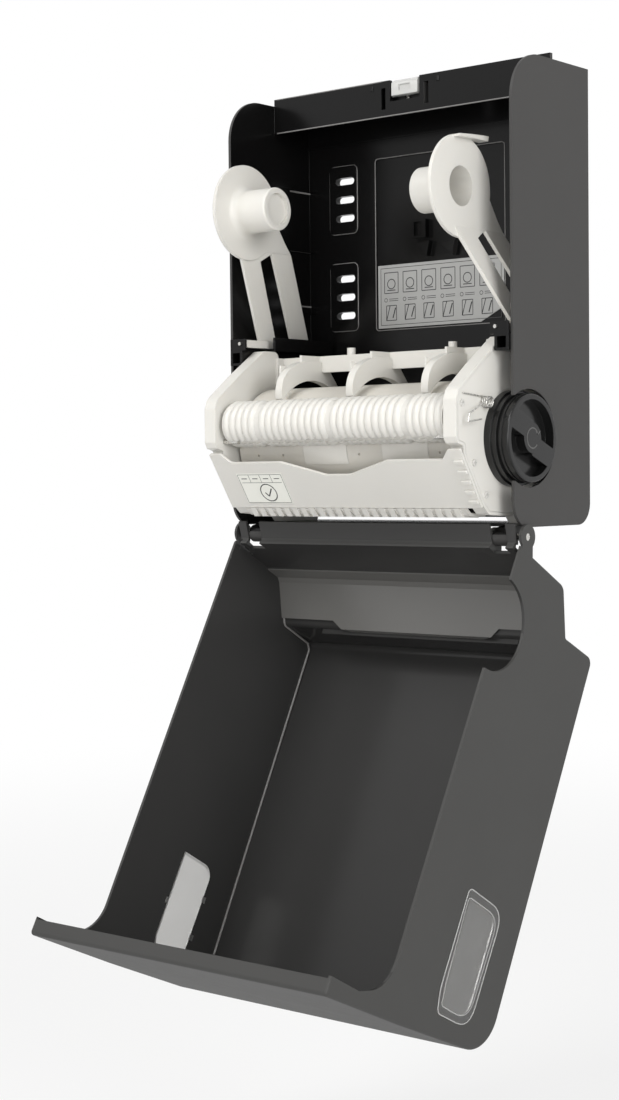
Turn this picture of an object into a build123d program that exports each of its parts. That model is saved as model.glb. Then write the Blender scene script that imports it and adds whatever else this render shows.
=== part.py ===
from build123d import *
from math import atan2, cos, degrees, hypot, pi, radians, sin, sqrt
import os

os.makedirs("parts", exist_ok=True)

# Wall-hung roll towel dispenser, shown with its cover swung down against the wall.
# X runs to the viewer's right, Y runs into the wall and Z runs up.
# Everything is drawn with heights from the casing's bottom edge and the wall at Y = 0.
# The finished pieces are then moved so that the origin is the middle of the wall screws.

# Cover and casing
COVER_W = 300.0
COVER_T = 2.4
COVER_SIDE_GAP = 0.4
CASE_T = 2.6
CASE_H = 371.3
CASE_DEPTH = 112.0
CASE_TOP_R = 38.0
CASE_FOOT_R = 20.0
CASE_BACK_R = 18.0
BACK_T = 5.0
BACK_POCKET = 2.2
BACK_RIM = 9.0
FLOOR_FRONT_Y = -80.0
CASE_HALF = COVER_W / 2 - COVER_T - COVER_SIDE_GAP
CASE_IN = CASE_HALF - CASE_T
COVER_IN = COVER_W / 2 - COVER_T

# Top rail that carries the latch
RAIL_FRONT_Y = -53.0
RAIL_T = 3.5
RAIL_TOP = CASE_H + 5.7
RAIL_BOTTOM = CASE_H - 24.3
RAIL_END_GAP = 2.6

# Wall screw slots, four pads of three
SLOT_X = 102.3
SLOT_PITCH = 16.5
SLOT_L = 21.0
SLOT_W = 6.4
PAD_W = 30.6
PAD_H = 60.0
PAD_PROUD = 1.2
PAD_SHIFT = 2.2
UPPER_PAD_Z = 289.25
LOWER_PAD_Z = 202.25
MOUNT_H = (UPPER_PAD_Z + LOWER_PAD_Z) / 2

# Cover hinge
HINGE_Y = -97.0
HINGE_Z = -7.5
OPEN_ANGLE = 150.76
HINGE_PIN_R = 3.0
HINGE_FIT = 0.06
HOOK_X = 128.0
HOOK_W = 14.0
HOOK_R = 7.5
EAR_R = 10.0
LUG_T = 3.0
LUG_GAP = 0.5

# Roll arms
ROLL_Y = -131.5
ROLL_Z = 266.3
ARM_X = 111.0
ARM_T = 3.0
DISC_R = 40.0
HUB_R = 18.0
HUB_L = 34.5
HUB_WALL = 2.4
ARM_BEND_Z = 235.0
FOOT_X = 133.0
FOOT_Z = 157.2
FOOT_W = 11.0
FOOT_H = 6.4
FOOT_FRONT_Y = -113.0
FOOT_BACK_Y = -21.0
ARM_PIN_R = 1.5
ARM_PIN_FIT = 0.08

# Feed module
DRUM_Y = -90.5
DRUM_Z = 70.1
DRUM_R = 47.5
DRUM_T = 3.0
DRUM_HALF = 115.0
CAP_T = 3.0
AXLE_R = 4.0
AXLE_FIT = 0.06
PLATE_IN = 118.0
PLATE_OUT = 130.0
PLATE_WEB = 2.5
PLATE_RIM = 2.5
GUIDE_R_IN = 53.5
GUIDE_R_OUT = 70.5
GUIDE_W = 7.0
GUIDE_PITCH = 76.0
BAR_Y = -143.5
BAR_Z = 86.5
BAR_R = 19.6
BAR_HALF = 114.0
RIB_PITCH = 7.1
RIB_DEPTH = 1.6
ROLLER_R = 7.0
ROLLER_GAP = 0.3
ROLLER_AXLE_R = 2.0
BAR_PIVOT_Y = -154.0
BAR_PIVOT_Z = 71.5
BAR_PIN_R = 2.0

# Knob
KNOB_R = 35.0
KNOB_FACE_X = 150.5
KNOB_BACK_X = 136.5
KNOB_RING_R = 38.2
KNOB_NOTCH_R = 38.7
COVER_NOTCH_R = 37.4

# Sheet and small part gaps
SLIDE_GAP = 0.3
SEAT_GAP = 0.15

HINGE_AXIS = Axis((0, HINGE_Y, HINGE_Z), (1, 0, 0))


def save(piece, name, on_cover=False):
    """Swing a cover piece open, move the piece to the wall screw frame and write it."""
    if on_cover:
        piece = piece.rotate(HINGE_AXIS, OPEN_ANGLE)
    placed = piece.moved(Location((0, 0, -MOUNT_H)))
    placed.label = name
    export_step(placed, f"parts/{name}.step")


def save_pair(left_piece, name, on_cover=False):
    """Write a left piece and its mirror image on the right."""
    save(left_piece, f"left_{name}", on_cover)
    save(mirror(left_piece, about=Plane.YZ), f"right_{name}", on_cover)


def across(x):
    """Plane at a given X whose sketch axes are Y and Z."""
    return Plane((x, 0, 0), x_dir=(0, 1, 0), z_dir=(1, 0, 0))


def rod(x0, x1, y, z, r):
    """Plain round bar along X."""
    with BuildPart() as bar:
        with BuildSketch(across(x0)):
            with Locations((y, z)):
                Circle(r)
        extrude(amount=x1 - x0)
    return bar.part


def block(x0, x1, y0, y1, z0, z1):
    """Plain block between two corners."""
    with BuildPart() as solid:
        with Locations(((x0 + x1) / 2, (y0 + y1) / 2, (z0 + z1) / 2)):
            Box(abs(x1 - x0), abs(y1 - y0), abs(z1 - z0))
    return solid.part


def slab(x0, x1, points):
    """Flat piece with a straight-sided outline in Y and Z."""
    with BuildPart() as solid:
        with BuildSketch(across(x0)):
            Polygon(*points, align=None)
        extrude(amount=x1 - x0)
    return solid.part


# Rear housing: one black moulding with a back, sides, floor, roof and top rail

def case_outline():
    """Side view of the casing."""
    with BuildSketch() as outline:
        with BuildLine():
            FilletPolyline(
                (0, 0),
                (-CASE_DEPTH, 0),
                (-CASE_DEPTH, CASE_H),
                (0, CASE_H),
                radius=[CASE_FOOT_R, CASE_TOP_R],
            )
            Line((0, CASE_H), (0, 0))
        make_face()
    return outline.sketch


def make_housing():
    floor_top = CASE_T
    roof_low = CASE_H - CASE_T
    rail_back = RAIL_FRONT_Y + RAIL_T
    with BuildPart() as housing:
        with BuildSketch(across(-CASE_HALF)):
            add(case_outline())
        extrude(amount=2 * CASE_HALF)
        back_low = housing.edges().filter_by(Axis.X).sort_by(Axis.Y)[-2:].sort_by(Axis.Z)[0]
        fillet(back_low, CASE_BACK_R)
        with BuildSketch(across(-CASE_IN)):
            Polygon(
                (-BACK_T, floor_top), (FLOOR_FRONT_Y, floor_top), (FLOOR_FRONT_Y, -1),
                (-2 * CASE_DEPTH, -1), (-2 * CASE_DEPTH, 2 * CASE_H), (rail_back, 2 * CASE_H),
                (rail_back, roof_low), (-BACK_T, roof_low), align=None,
            )
        extrude(amount=2 * CASE_IN, mode=Mode.SUBTRACT)
        # Notch in the right wall where the knob sits
        with BuildSketch(across(CASE_IN - 1)):
            with Locations((DRUM_Y, DRUM_Z)):
                Circle(KNOB_NOTCH_R)
            with Locations((DRUM_Y - KNOB_NOTCH_R, DRUM_Z)):
                Rectangle(2 * KNOB_NOTCH_R, 1.72 * KNOB_NOTCH_R)
        extrude(amount=CASE_T + 2, mode=Mode.SUBTRACT)
        # Wall pads stand proud inside and reach the wall behind
        pads = [(side * (SLOT_X + PAD_SHIFT), z) for side in (-1, 1) for z in (UPPER_PAD_Z, LOWER_PAD_Z)]
        with BuildSketch(Plane((0, 0, 0), x_dir=(1, 0, 0), z_dir=(0, -1, 0))) as rear:
            with Locations((0, CASE_H / 2)):
                Rectangle(2 * (CASE_HALF - BACK_RIM), CASE_H - 2 * BACK_RIM - CASE_BACK_R)
            with Locations(*pads):
                Rectangle(PAD_W, PAD_H, mode=Mode.SUBTRACT)
        extrude(amount=BACK_POCKET, mode=Mode.SUBTRACT)
        with BuildSketch(Plane((0, -BACK_T, 0), x_dir=(1, 0, 0), z_dir=(0, -1, 0))):
            with Locations(*pads):
                RectangleRounded(PAD_W, PAD_H, 4)
        extrude(amount=PAD_PROUD)
        with BuildSketch(Plane((0, 1, 0), x_dir=(1, 0, 0), z_dir=(0, -1, 0))):
            for z in (UPPER_PAD_Z, LOWER_PAD_Z):
                for step in (-1, 0, 1):
                    with Locations((-SLOT_X, z + step * SLOT_PITCH), (SLOT_X, z + step * SLOT_PITCH)):
                        SlotOverall(SLOT_L, SLOT_W)
        extrude(amount=BACK_T + PAD_PROUD + 2, mode=Mode.SUBTRACT)
        # Recessed label panel and a bead above it
        with BuildSketch(Plane((0, -BACK_T, 0), x_dir=(1, 0, 0), z_dir=(0, -1, 0))):
            with Locations((0, PANEL_Z)):
                RectangleRounded(PANEL_W, PANEL_H, 3)
        extrude(amount=-PANEL_DEPTH, mode=Mode.SUBTRACT)
        bead_z = RAIL_BOTTOM - BEAD_DROP
        add(block(-CASE_IN, CASE_IN, -BACK_T, -BACK_T - BEAD_T, bead_z, bead_z + BEAD_T))
        # Top rail with its latch notch and two slots
        add(block(-CASE_IN, CASE_IN, RAIL_FRONT_Y, rail_back, RAIL_BOTTOM, roof_low + 1))
        rail_half = CASE_HALF - RAIL_END_GAP
        add(block(-rail_half, rail_half, RAIL_FRONT_Y, rail_back, roof_low, RAIL_TOP))
        notch_low = RAIL_TOP - CATCH_NOTCH_H
        with Locations((0, RAIL_FRONT_Y + RAIL_T / 2, (notch_low + RAIL_TOP + 1) / 2)):
            Box(CATCH_NOTCH_W, RAIL_T + 0.02, RAIL_TOP + 1 - notch_low, mode=Mode.SUBTRACT)
        for side in (-1, 1):
            with Locations((side * RAIL_SLOT_X, RAIL_FRONT_Y, RAIL_SLOT_Z)):
                Box(RAIL_SLOT_W, 4 * RAIL_T, RAIL_SLOT_H, mode=Mode.SUBTRACT)
        # Guide pocket behind the rail that holds the latch catch
        guide_back = rail_back + CATCH_PLATE_T + 2 * SLIDE_GAP
        guide_in = CATCH_PLATE_W / 2 + SLIDE_GAP
        with Locations((0, (rail_back + guide_back) / 2, CASE_H)):
            Box(2 * guide_in, guide_back - rail_back, 20, mode=Mode.SUBTRACT)
        for side in (-1, 1):
            add(block(side * guide_in, side * (guide_in + 2.4), rail_back, guide_back + 2, CATCH_SEAT_Z, roof_low + 1))
        add(block(-guide_in - 2.4, guide_in + 2.4, guide_back, guide_back + 2, CATCH_SEAT_Z - 2, roof_low + 1))
        add(block(-guide_in - 2.4, guide_in + 2.4, rail_back, guide_back + 2, CATCH_SEAT_Z - 2, CATCH_SEAT_Z))
        # Corner ribs between the back and the side walls
        for side in (-1, 1):
            for z in CORNER_RIB_Z:
                add(slab(side * CASE_IN, side * (CASE_IN - 1.6), [(-BACK_T, z), (-48, z), (-48, z + 1.6), (-BACK_T, z + 1.6)]))
                add(block(side * CASE_IN, side * (CASE_IN - 8), -BACK_T, -BACK_T - 1.6, z, z + 1.6))
        # Key clip and two hooks on the back
        panel_y = -BACK_T + PANEL_DEPTH
        add(block(CLIP_X - 7, CLIP_X + 7, panel_y, panel_y - CLIP_PROUD, CLIP_Z - 8, CLIP_Z + 8))
        with Locations((CLIP_X - 1.5, panel_y - CLIP_PROUD, CLIP_Z)):
            Box(8, CLIP_PROUD, 12, mode=Mode.SUBTRACT)
        for x, z in ((CLIP_X + 4, CLIP_Z - 17), (CLIP_X + 31, CLIP_Z - 18)):
            with BuildSketch(Plane((0, panel_y, 0), x_dir=(1, 0, 0), z_dir=(0, -1, 0))):
                Polygon((x - 9, z + 4), (x + 7, z + 6), (x + 4, z - 7), align=None)
            extrude(amount=CLIP_PROUD)
        # Hinge hooks under the floor's front edge
        for side in (-1, 1):
            with BuildSketch(across(side * HOOK_X - HOOK_W / 2)):
                with Locations((HINGE_Y, HINGE_Z)):
                    Circle(HOOK_R)
                Polygon(
                    (HINGE_Y + 1, HINGE_Z - HOOK_R), (FLOOR_FRONT_Y + 4, -2.5), (FLOOR_FRONT_Y + 9, 0.5),
                    (FLOOR_FRONT_Y, CASE_T), (HINGE_Y - 1, HINGE_Z + HOOK_R), align=None,
                )
                with Locations((HINGE_Y, HINGE_Z)):
                    Circle(HINGE_PIN_R + HINGE_FIT, mode=Mode.SUBTRACT)
            extrude(amount=HOOK_W)
    return housing.part


PANEL_W = 136.0
PANEL_H = 150.0
PANEL_Z = 246.0
PANEL_DEPTH = 1.2
BEAD_DROP = 9.0
BEAD_T = 1.8
CORNER_RIB_Z = (190.0, 245.0, 300.0)
CLIP_X = -18.0
CLIP_Z = 256.0
CLIP_PROUD = 6.0
RAIL_SLOT_X = 22.5
RAIL_SLOT_Z = CASE_H - 9.3
RAIL_SLOT_W = 4.6
RAIL_SLOT_H = 18.0

# Latch catch: slides down behind the rail to free the cover, pushed up by a spring
CATCH_W = 27.0
CATCH_PLATE_W = 36.0
CATCH_PLATE_T = 3.0
CATCH_TOP = CASE_H + 5.1
CATCH_LOW = CASE_H - 7.8
CATCH_TRAVEL = 3.5
CATCH_NOTCH_W = 31.0
CATCH_NOTCH_H = 18.0
CATCH_SEAT_Z = CASE_H - 21.3
LATCH_SPRING_R = 1.5
LATCH_WIRE_R = 0.3
LATCH_TURNS = 6


def make_catch():
    rail_back = RAIL_FRONT_Y + RAIL_T
    plate_y = rail_back + SLIDE_GAP
    with BuildPart() as catch:
        add(block(-CATCH_W / 2, CATCH_W / 2, RAIL_FRONT_Y - 0.5, plate_y + CATCH_PLATE_T, CATCH_LOW, CATCH_TOP))
        add(block(-CATCH_PLATE_W / 2, CATCH_PLATE_W / 2, plate_y, plate_y + CATCH_PLATE_T, CATCH_LOW, CASE_H))
        top_front = catch.edges().filter_by(Axis.X).group_by(Axis.Z)[-1].sort_by(Axis.Y)[0]
        chamfer(top_front, 2.5)
        with Locations((0, RAIL_FRONT_Y - 0.5, CATCH_LOW + 6)):
            Box(12, 3, 5, mode=Mode.SUBTRACT)
    return catch.part


def make_latch_spring():
    spring_y = RAIL_FRONT_Y + RAIL_T + SLIDE_GAP + CATCH_PLATE_T / 2
    low = CATCH_SEAT_Z + LATCH_WIRE_R
    height = CATCH_LOW - CATCH_SEAT_Z - 2 * LATCH_WIRE_R
    with BuildPart() as spring:
        with BuildLine():
            coil = Helix(height / LATCH_TURNS, height, LATCH_SPRING_R - LATCH_WIRE_R, center=(0, spring_y, low))
        with BuildSketch(Plane(coil @ 0, z_dir=coil % 0)):
            Circle(LATCH_WIRE_R)
        sweep(path=coil)
    return spring.part


# Bare label in the recessed panel
LABEL_H = 55.5
LABEL_T = 0.5
LABEL_CHAMFER = 12.0


def make_label():
    low = PANEL_Z - PANEL_H / 2 + 1
    half = PANEL_W / 2 - 1
    face_y = -BACK_T + PANEL_DEPTH
    with BuildPart() as label:
        with BuildSketch(Plane((0, face_y, 0), x_dir=(1, 0, 0), z_dir=(0, -1, 0))):
            Polygon(
                (-half, low), (half - 2 * LABEL_CHAMFER, low), (half, low + LABEL_CHAMFER),
                (half, low + LABEL_H), (-half, low + LABEL_H), align=None,
            )
        extrude(amount=LABEL_T)
    return label.part


# Cover: a thin shell drawn closed and written open

FRONT_LOW_Y = -229.8
FRONT_LOW_Z = 43.5
FRONT_Y = -237.6
FRONT_TOP_R = 32.0
COVER_TOP_FRONT = CASE_H + 0.9
COVER_TOP_BACK = CASE_H + 15.9
COVER_LIP_Y = -22.6
COVER_LIP_Z = CASE_H + 3.2
BOTTOM_Z = 3.0
BOTTOM_REAR_Y = -101.0
FREE_EDGE_Y = -91.5
FREE_EDGE_R = 32.0
STEP_Y = -185.8
STEP_Z = 38.7
EXIT_HALF = 104.0
EXIT_LIP_T = 2.0
EXIT_LIP_TOP = 45.5
EXIT_MID_HALF = 70.0
EXIT_SLOPE = 18.0
EXIT_DEPTH = 8.0
EXIT_SHIFT = 9.0
COVER_EDGE_R = 2.0


def skin_line():
    """Outer line of the cover from its lower rear edge round the front to the top lip."""
    with BuildLine() as skin:
        FilletPolyline(
            (BOTTOM_REAR_Y, BOTTOM_Z),
            (-163.0, BOTTOM_Z),
            (STEP_Y, STEP_Z),
            (FRONT_LOW_Y - 1.2, FRONT_LOW_Z - 7.0),
            (FRONT_Y, COVER_TOP_FRONT - 3.0),
            (-118.0, CASE_H + 8.9),
            (COVER_LIP_Y, COVER_TOP_BACK),
            (COVER_LIP_Y, COVER_LIP_Z),
            radius=[9.0, 2.6, 7.0, FRONT_TOP_R, 300.0, 3.0],
        )
    return skin.line


def side_outline():
    """Side wall of the cover, with its free edge."""
    with BuildSketch() as outline:
        with BuildLine():
            add(skin_line())
            Polyline((COVER_LIP_Y, COVER_LIP_Z), (COVER_LIP_Y, CASE_H + 1.2), (-58.0, CASE_H + 1.2))
            FilletPolyline(
                (-58.0, CASE_H + 1.2), (FREE_EDGE_Y, CASE_H - 10.0), (FREE_EDGE_Y, BOTTOM_Z),
                radius=FREE_EDGE_R,
            )
            Line((FREE_EDGE_Y, BOTTOM_Z), (BOTTOM_REAR_Y, BOTTOM_Z))
        make_face()
    return outline.sketch


def window_points():
    """Outer corners of the side window, seen on the closed cover."""
    return [
        (-152.3, 261.6), (-204.1, 263.6), (-202.9, 358.6), (-156.5, 359.6), (-151.5, 343.0),
    ]


WINDOW_BEZEL = 6.0
WINDOW_SKIN = 0.8
WINDOW_PROUD = 0.15


def window_face(inset):
    """Rounded window outline, drawn in by an inset."""
    with BuildSketch() as outline:
        with BuildLine():
            FilletPolyline(*window_points(), close=True, radius=[6.0, 18.0, 21.0, 5.0, 7.0])
        make_face()
        if inset > 0:
            offset(amount=-inset, kind=Kind.ARC, mode=Mode.REPLACE)
    return outline.sketch


def exit_cut(half):
    """Solid that trims the chute's far edge: a band whose ends sit further back."""
    near = STEP_Y - 4 + EXIT_LIP_T + SEAT_GAP
    far = near - 30
    shoulder = EXIT_MID_HALF + EXIT_SLOPE
    with BuildPart() as cut:
        with BuildSketch(Plane.XY.offset(STEP_Z - EXIT_SHIFT)):
            Polygon(
                (-half, near + EXIT_SHIFT), (-shoulder, near + EXIT_SHIFT), (-EXIT_MID_HALF, near),
                (EXIT_MID_HALF, near), (shoulder, near + EXIT_SHIFT), (half, near + EXIT_SHIFT),
                (half, far + EXIT_SHIFT), (shoulder, far + EXIT_SHIFT), (EXIT_MID_HALF, far),
                (-EXIT_MID_HALF, far), (-shoulder, far + EXIT_SHIFT), (-half, far + EXIT_SHIFT), align=None,
            )
        extrude(amount=2 * EXIT_SHIFT)
    return cut.part


CHUTE_T = 1.2
CHUTE_REAR_Y = -141.0


def make_chute():
    """Grey liner on the cover's slanted wall, ending at the paper exit."""
    half = COVER_IN - SEAT_GAP
    low = BOTTOM_Z + COVER_T + SEAT_GAP
    step_top = STEP_Z + COVER_T + 3 * SEAT_GAP
    foot_y = -163.0 + 1.9
    head_y = STEP_Y + 2.0
    with BuildPart() as chute:
        with BuildSketch(across(-half)):
            Polygon(
                (CHUTE_REAR_Y, low), (foot_y + 4.5, low), (foot_y - 0.3, low + 3.5), (head_y + 0.6, step_top - 0.4),
                (STEP_Y - 6, step_top), (STEP_Y - 6, step_top + CHUTE_T), (head_y + 0.9, step_top + CHUTE_T),
                (foot_y + 0.9, low + 4.2), (foot_y + 5.0, low + CHUTE_T), (CHUTE_REAR_Y, low + CHUTE_T), align=None,
            )
        extrude(amount=2 * half)
        add(exit_cut(COVER_W), mode=Mode.SUBTRACT)
    return chute.part


def make_cover():
    half = COVER_W / 2
    with BuildPart() as cover:
        with BuildSketch(across(-half)):
            add(side_outline())
        extrude(amount=2 * half)
        rim = (
            cover.faces().filter_by(Axis.X)
            .edges()
            .filter_by(lambda e: (e @ 0.5).Y < FREE_EDGE_Y - 12 or (e @ 0.5).Z > CASE_H + 4)
        )
        fillet(rim, COVER_EDGE_R)
        # Hollow it out, leaving the skin and the two side walls
        with BuildSketch(across(-COVER_IN)):
            with BuildLine():
                add(skin_line())
                Line((COVER_LIP_Y, COVER_LIP_Z), (BOTTOM_REAR_Y, BOTTOM_Z))
            make_face()
            offset(amount=-COVER_T, kind=Kind.INTERSECTION, mode=Mode.REPLACE)
            Polygon(
                (BOTTOM_REAR_Y - 3, BOTTOM_Z + COVER_T), (FREE_EDGE_Y + 90, BOTTOM_Z + COVER_T),
                (FREE_EDGE_Y + 90, COVER_LIP_Z - 2.6), (COVER_LIP_Y - COVER_T, COVER_LIP_Z - 2.6),
                (COVER_LIP_Y - COVER_T, COVER_LIP_Z + 6), (-118.0, COVER_LIP_Z), align=None,
            )
        extrude(amount=2 * COVER_IN, mode=Mode.SUBTRACT)
        with Locations((0, COVER_LIP_Y - COVER_T / 2, COVER_LIP_Z - 10)):
            Box(2 * COVER_IN, COVER_T + 0.1, 20, mode=Mode.SUBTRACT)
        # Hinge ears on the side walls and lugs inside them
        lug_x = HOOK_X - HOOK_W / 2 - LUG_GAP - LUG_T
        for x, width in ((-half, COVER_T), (COVER_IN, COVER_T), (-lug_x - LUG_T, LUG_T), (lug_x, LUG_T)):
            with BuildSketch(across(x)):
                with Locations((HINGE_Y, HINGE_Z)):
                    Circle(EAR_R if abs(x) > COVER_IN - 1 else HOOK_R)
                Polygon(
                    (HINGE_Y + 5.0, HINGE_Z + 4.0), (HINGE_Y + 3.0, BOTTOM_Z + COVER_T),
                    (HINGE_Y - 14.0, BOTTOM_Z + COVER_T), (HINGE_Y - 13.0, BOTTOM_Z),
                    (HINGE_Y - 6.0, HINGE_Z - 3.0), align=None,
                )
            extrude(amount=width)
        # Flap behind the hinge line, cut away at the two hooks
        with BuildSketch(across(-FLAP_HALF)):
            Polygon(
                (BOTTOM_REAR_Y - 2, BOTTOM_Z + COVER_T), (BOTTOM_REAR_Y - 2, BOTTOM_Z),
                (HINGE_Y + 1.4, BOTTOM_Z - 0.6), (HINGE_Y + 2.4, HINGE_Z + 6.0), (HINGE_Y + 13.3, HINGE_Z - 5.0),
                (HINGE_Y + 14.9, HINGE_Z - 3.4), (HINGE_Y + 4.6, HINGE_Z + 7.2),
                (HINGE_Y + 3.6, BOTTOM_Z + COVER_T), align=None,
            )
        extrude(amount=2 * FLAP_HALF)
        for side in (-1, 1):
            with Locations((side * HOOK_X, HINGE_Y + 6, HINGE_Z + 4)):
                Box(HOOK_W + 2 * LUG_GAP, 20, 30, mode=Mode.SUBTRACT)
        add(rod(-half - 1, half + 1, HINGE_Y, HINGE_Z, HINGE_PIN_R), mode=Mode.SUBTRACT)
        # Half-round notch for the knob in the right wall
        with BuildSketch(across(COVER_IN - 1)):
            with Locations((DRUM_Y, DRUM_Z)):
                Circle(COVER_NOTCH_R)
        extrude(amount=COVER_T + 2, mode=Mode.SUBTRACT)
        # Paper exit behind an upstanding lip, and clearance at the casing's side walls
        lip_front = STEP_Y - 4
        add(block(-EXIT_HALF, EXIT_HALF, lip_front, lip_front + EXIT_LIP_T, STEP_Z - 1, EXIT_LIP_TOP))
        with Locations((0, lip_front - EXIT_DEPTH / 2, STEP_Z)):
            Box(2 * EXIT_HALF, EXIT_DEPTH, 10, mode=Mode.SUBTRACT)
        for side in (-1, 1):
            with Locations((side * (CASE_IN + COVER_IN - 0.6) / 2, -CASE_DEPTH + 8, BOTTOM_Z)):
                Box(COVER_IN - CASE_IN + 0.6, 20, 20, mode=Mode.SUBTRACT)
            with Locations((side * (CASE_IN - 2 + COVER_IN) / 2, HINGE_Y + 3.5, HINGE_Z + 12)):
                Box(COVER_IN - CASE_IN + 2.6, 10, 8, mode=Mode.SUBTRACT)
        # Windows: a shallow seat outside and a smaller hole right through
        for x, seat in ((-half, -half + WINDOW_SKIN), (half, half - WINDOW_SKIN)):
            low, high = min(x, seat), max(x, seat)
            with BuildSketch(across(low)):
                add(window_face(0))
            extrude(amount=high - low, mode=Mode.SUBTRACT)
        with BuildSketch(across(-half - 1)):
            add(window_face(WINDOW_BEZEL))
        extrude(amount=2 * half + 2, mode=Mode.SUBTRACT)
        # Latch tongue under the roof
        add(block(-LATCH_TONGUE_W / 2, LATCH_TONGUE_W / 2, -45.0, -42.6, LATCH_TONGUE_Z, COVER_TOP_BACK - 3))
    return cover.part


FLAP_HALF = CASE_IN - 0.6
LATCH_TONGUE_W = 24.0
LATCH_TONGUE_Z = 379.3


def make_window():
    """Left window: thin outer plate and a plug through the wall with snap tabs."""
    half = COVER_W / 2
    with BuildPart() as window:
        with BuildSketch(across(-half - WINDOW_PROUD)):
            add(window_face(SEAT_GAP))
        extrude(amount=WINDOW_SKIN + WINDOW_PROUD)
        with BuildSketch(across(-half + WINDOW_SKIN)):
            add(window_face(WINDOW_BEZEL + SEAT_GAP))
        extrude(amount=COVER_T - WINDOW_SKIN + 1.2)
        for y, z in ((-198.6, 297.0), (-198.6, 331.0), (-157.4, 312.0)):
            with Locations((-COVER_IN + 0.75, y, z)):
                Box(1.1, 5.0, 5.0)
    return window.part


# Roll arms: disc, hollow hub and two legs on a foot that tilts outwards

LEG_POINTS = [
    (-141.0, 235.6), (-92.0, 161.0), (-70.0, 161.0), (-112.0, 227.5), (-99.0, 235.0),
    (-48.0, 161.0), (-24.0, 161.0), (-60.0, 215.0), (-74.0, 235.6),
]
ARM_FOOT_TOP = FOOT_Z + FOOT_H / 2


TAB_W = 6.0


def arm_polar(r, angle):
    """Point at a radius and an angle round the roll axis, in Y and Z."""
    return (ROLL_Y + r * cos(radians(angle)), ROLL_Z + r * sin(radians(angle)))


def make_arm(with_tab):
    """Left arm; the finger tab is on the right one only."""
    low_x = FOOT_X - 0.5
    lean = hypot(low_x - ARM_X, ARM_BEND_Z - 161.0)
    up = ((low_x - ARM_X) / lean, 0, (ARM_BEND_Z - 161.0) / lean)
    leg_plane = Plane((-ARM_X - ARM_T / 2, 0, ARM_BEND_Z), x_dir=(0, 1, 0), z_dir=(up[2], 0, -up[0]))
    drop = (ARM_BEND_Z - 161.0) / lean
    legs = [(y, (z - ARM_BEND_Z) / drop) for y, z in LEG_POINTS]
    with BuildPart() as arm:
        with BuildSketch(across(-ARM_X - ARM_T / 2)):
            with Locations((ROLL_Y, ROLL_Z)):
                Circle(DISC_R)
            Polygon(
                (-141.0, ARM_BEND_Z), (-74.0, ARM_BEND_Z), (-81.5, 244.0), (-92.0, 259.0),
                (ROLL_Y, ROLL_Z), align=None,
            )
        extrude(amount=ARM_T)
        with BuildSketch(leg_plane):
            Polygon(*legs, align=None)
        extrude(amount=ARM_T)
        # Hub towards the roll core, hollow from outside
        add(rod(-ARM_X, -ARM_X + ARM_T / 2 + HUB_L, ROLL_Y, ROLL_Z, HUB_R))
        root = arm.edges().filter_by(GeomType.CIRCLE).filter_by(lambda e: abs(e.radius - HUB_R) < 0.01)
        fillet(root.sort_by(Axis.X)[0], 6.0)
        tip = arm.edges().filter_by(GeomType.CIRCLE).filter_by(lambda e: abs(e.radius - HUB_R) < 0.01)
        fillet(tip.sort_by(Axis.X)[-1], 1.5)
        hub_tip = -ARM_X + ARM_T / 2 + HUB_L
        add(rod(-ARM_X - ARM_T, hub_tip - 6, ROLL_Y, ROLL_Z, HUB_R - HUB_WALL), mode=Mode.SUBTRACT)
        add(rod(hub_tip - 3, hub_tip + 1, ROLL_Y, ROLL_Z, HUB_R - 5), mode=Mode.SUBTRACT)
        # Finger tab on the disc's top edge
        if with_tab:
            with BuildSketch(across(-ARM_X - ARM_T / 2 - TAB_W)):
                with BuildLine():
                    ThreePointArc(arm_polar(DISC_R, 104), arm_polar(DISC_R + 1.6, 76), arm_polar(DISC_R + 11, 54))
                    Line(arm_polar(DISC_R + 11, 54), arm_polar(DISC_R + 7, 52))
                    ThreePointArc(arm_polar(DISC_R + 7, 52), arm_polar(DISC_R - 1.2, 74), arm_polar(DISC_R - 2, 104))
                    Line(arm_polar(DISC_R - 2, 104), arm_polar(DISC_R, 104))
                make_face()
            extrude(amount=TAB_W + ARM_T)
        # Foot bar along the tilt axis
        add(block(-FOOT_X - FOOT_W / 2, -FOOT_X + FOOT_W / 2, FOOT_FRONT_Y, FOOT_BACK_Y, FOOT_Z - FOOT_H / 2, ARM_FOOT_TOP))
        with BuildSketch(Plane((0, FOOT_FRONT_Y - 1, 0), x_dir=(1, 0, 0), z_dir=(0, -1, 0))):
            with Locations((-FOOT_X, FOOT_Z)):
                Circle(ARM_PIN_R + ARM_PIN_FIT)
        extrude(amount=FOOT_FRONT_Y - FOOT_BACK_Y - 2, mode=Mode.SUBTRACT)
    return arm.part


BRACKET_T = 2.0
BRACKET_IN = 117.0
BRACKET_WALL_TOP = 163.0
BRACKET_FLOOR_TOP = 152.8
BRACKET_FRONT_Y = -88.0
BRACKET_BACK_Y = -8.0
CLIP_LOW = 138.5


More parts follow.
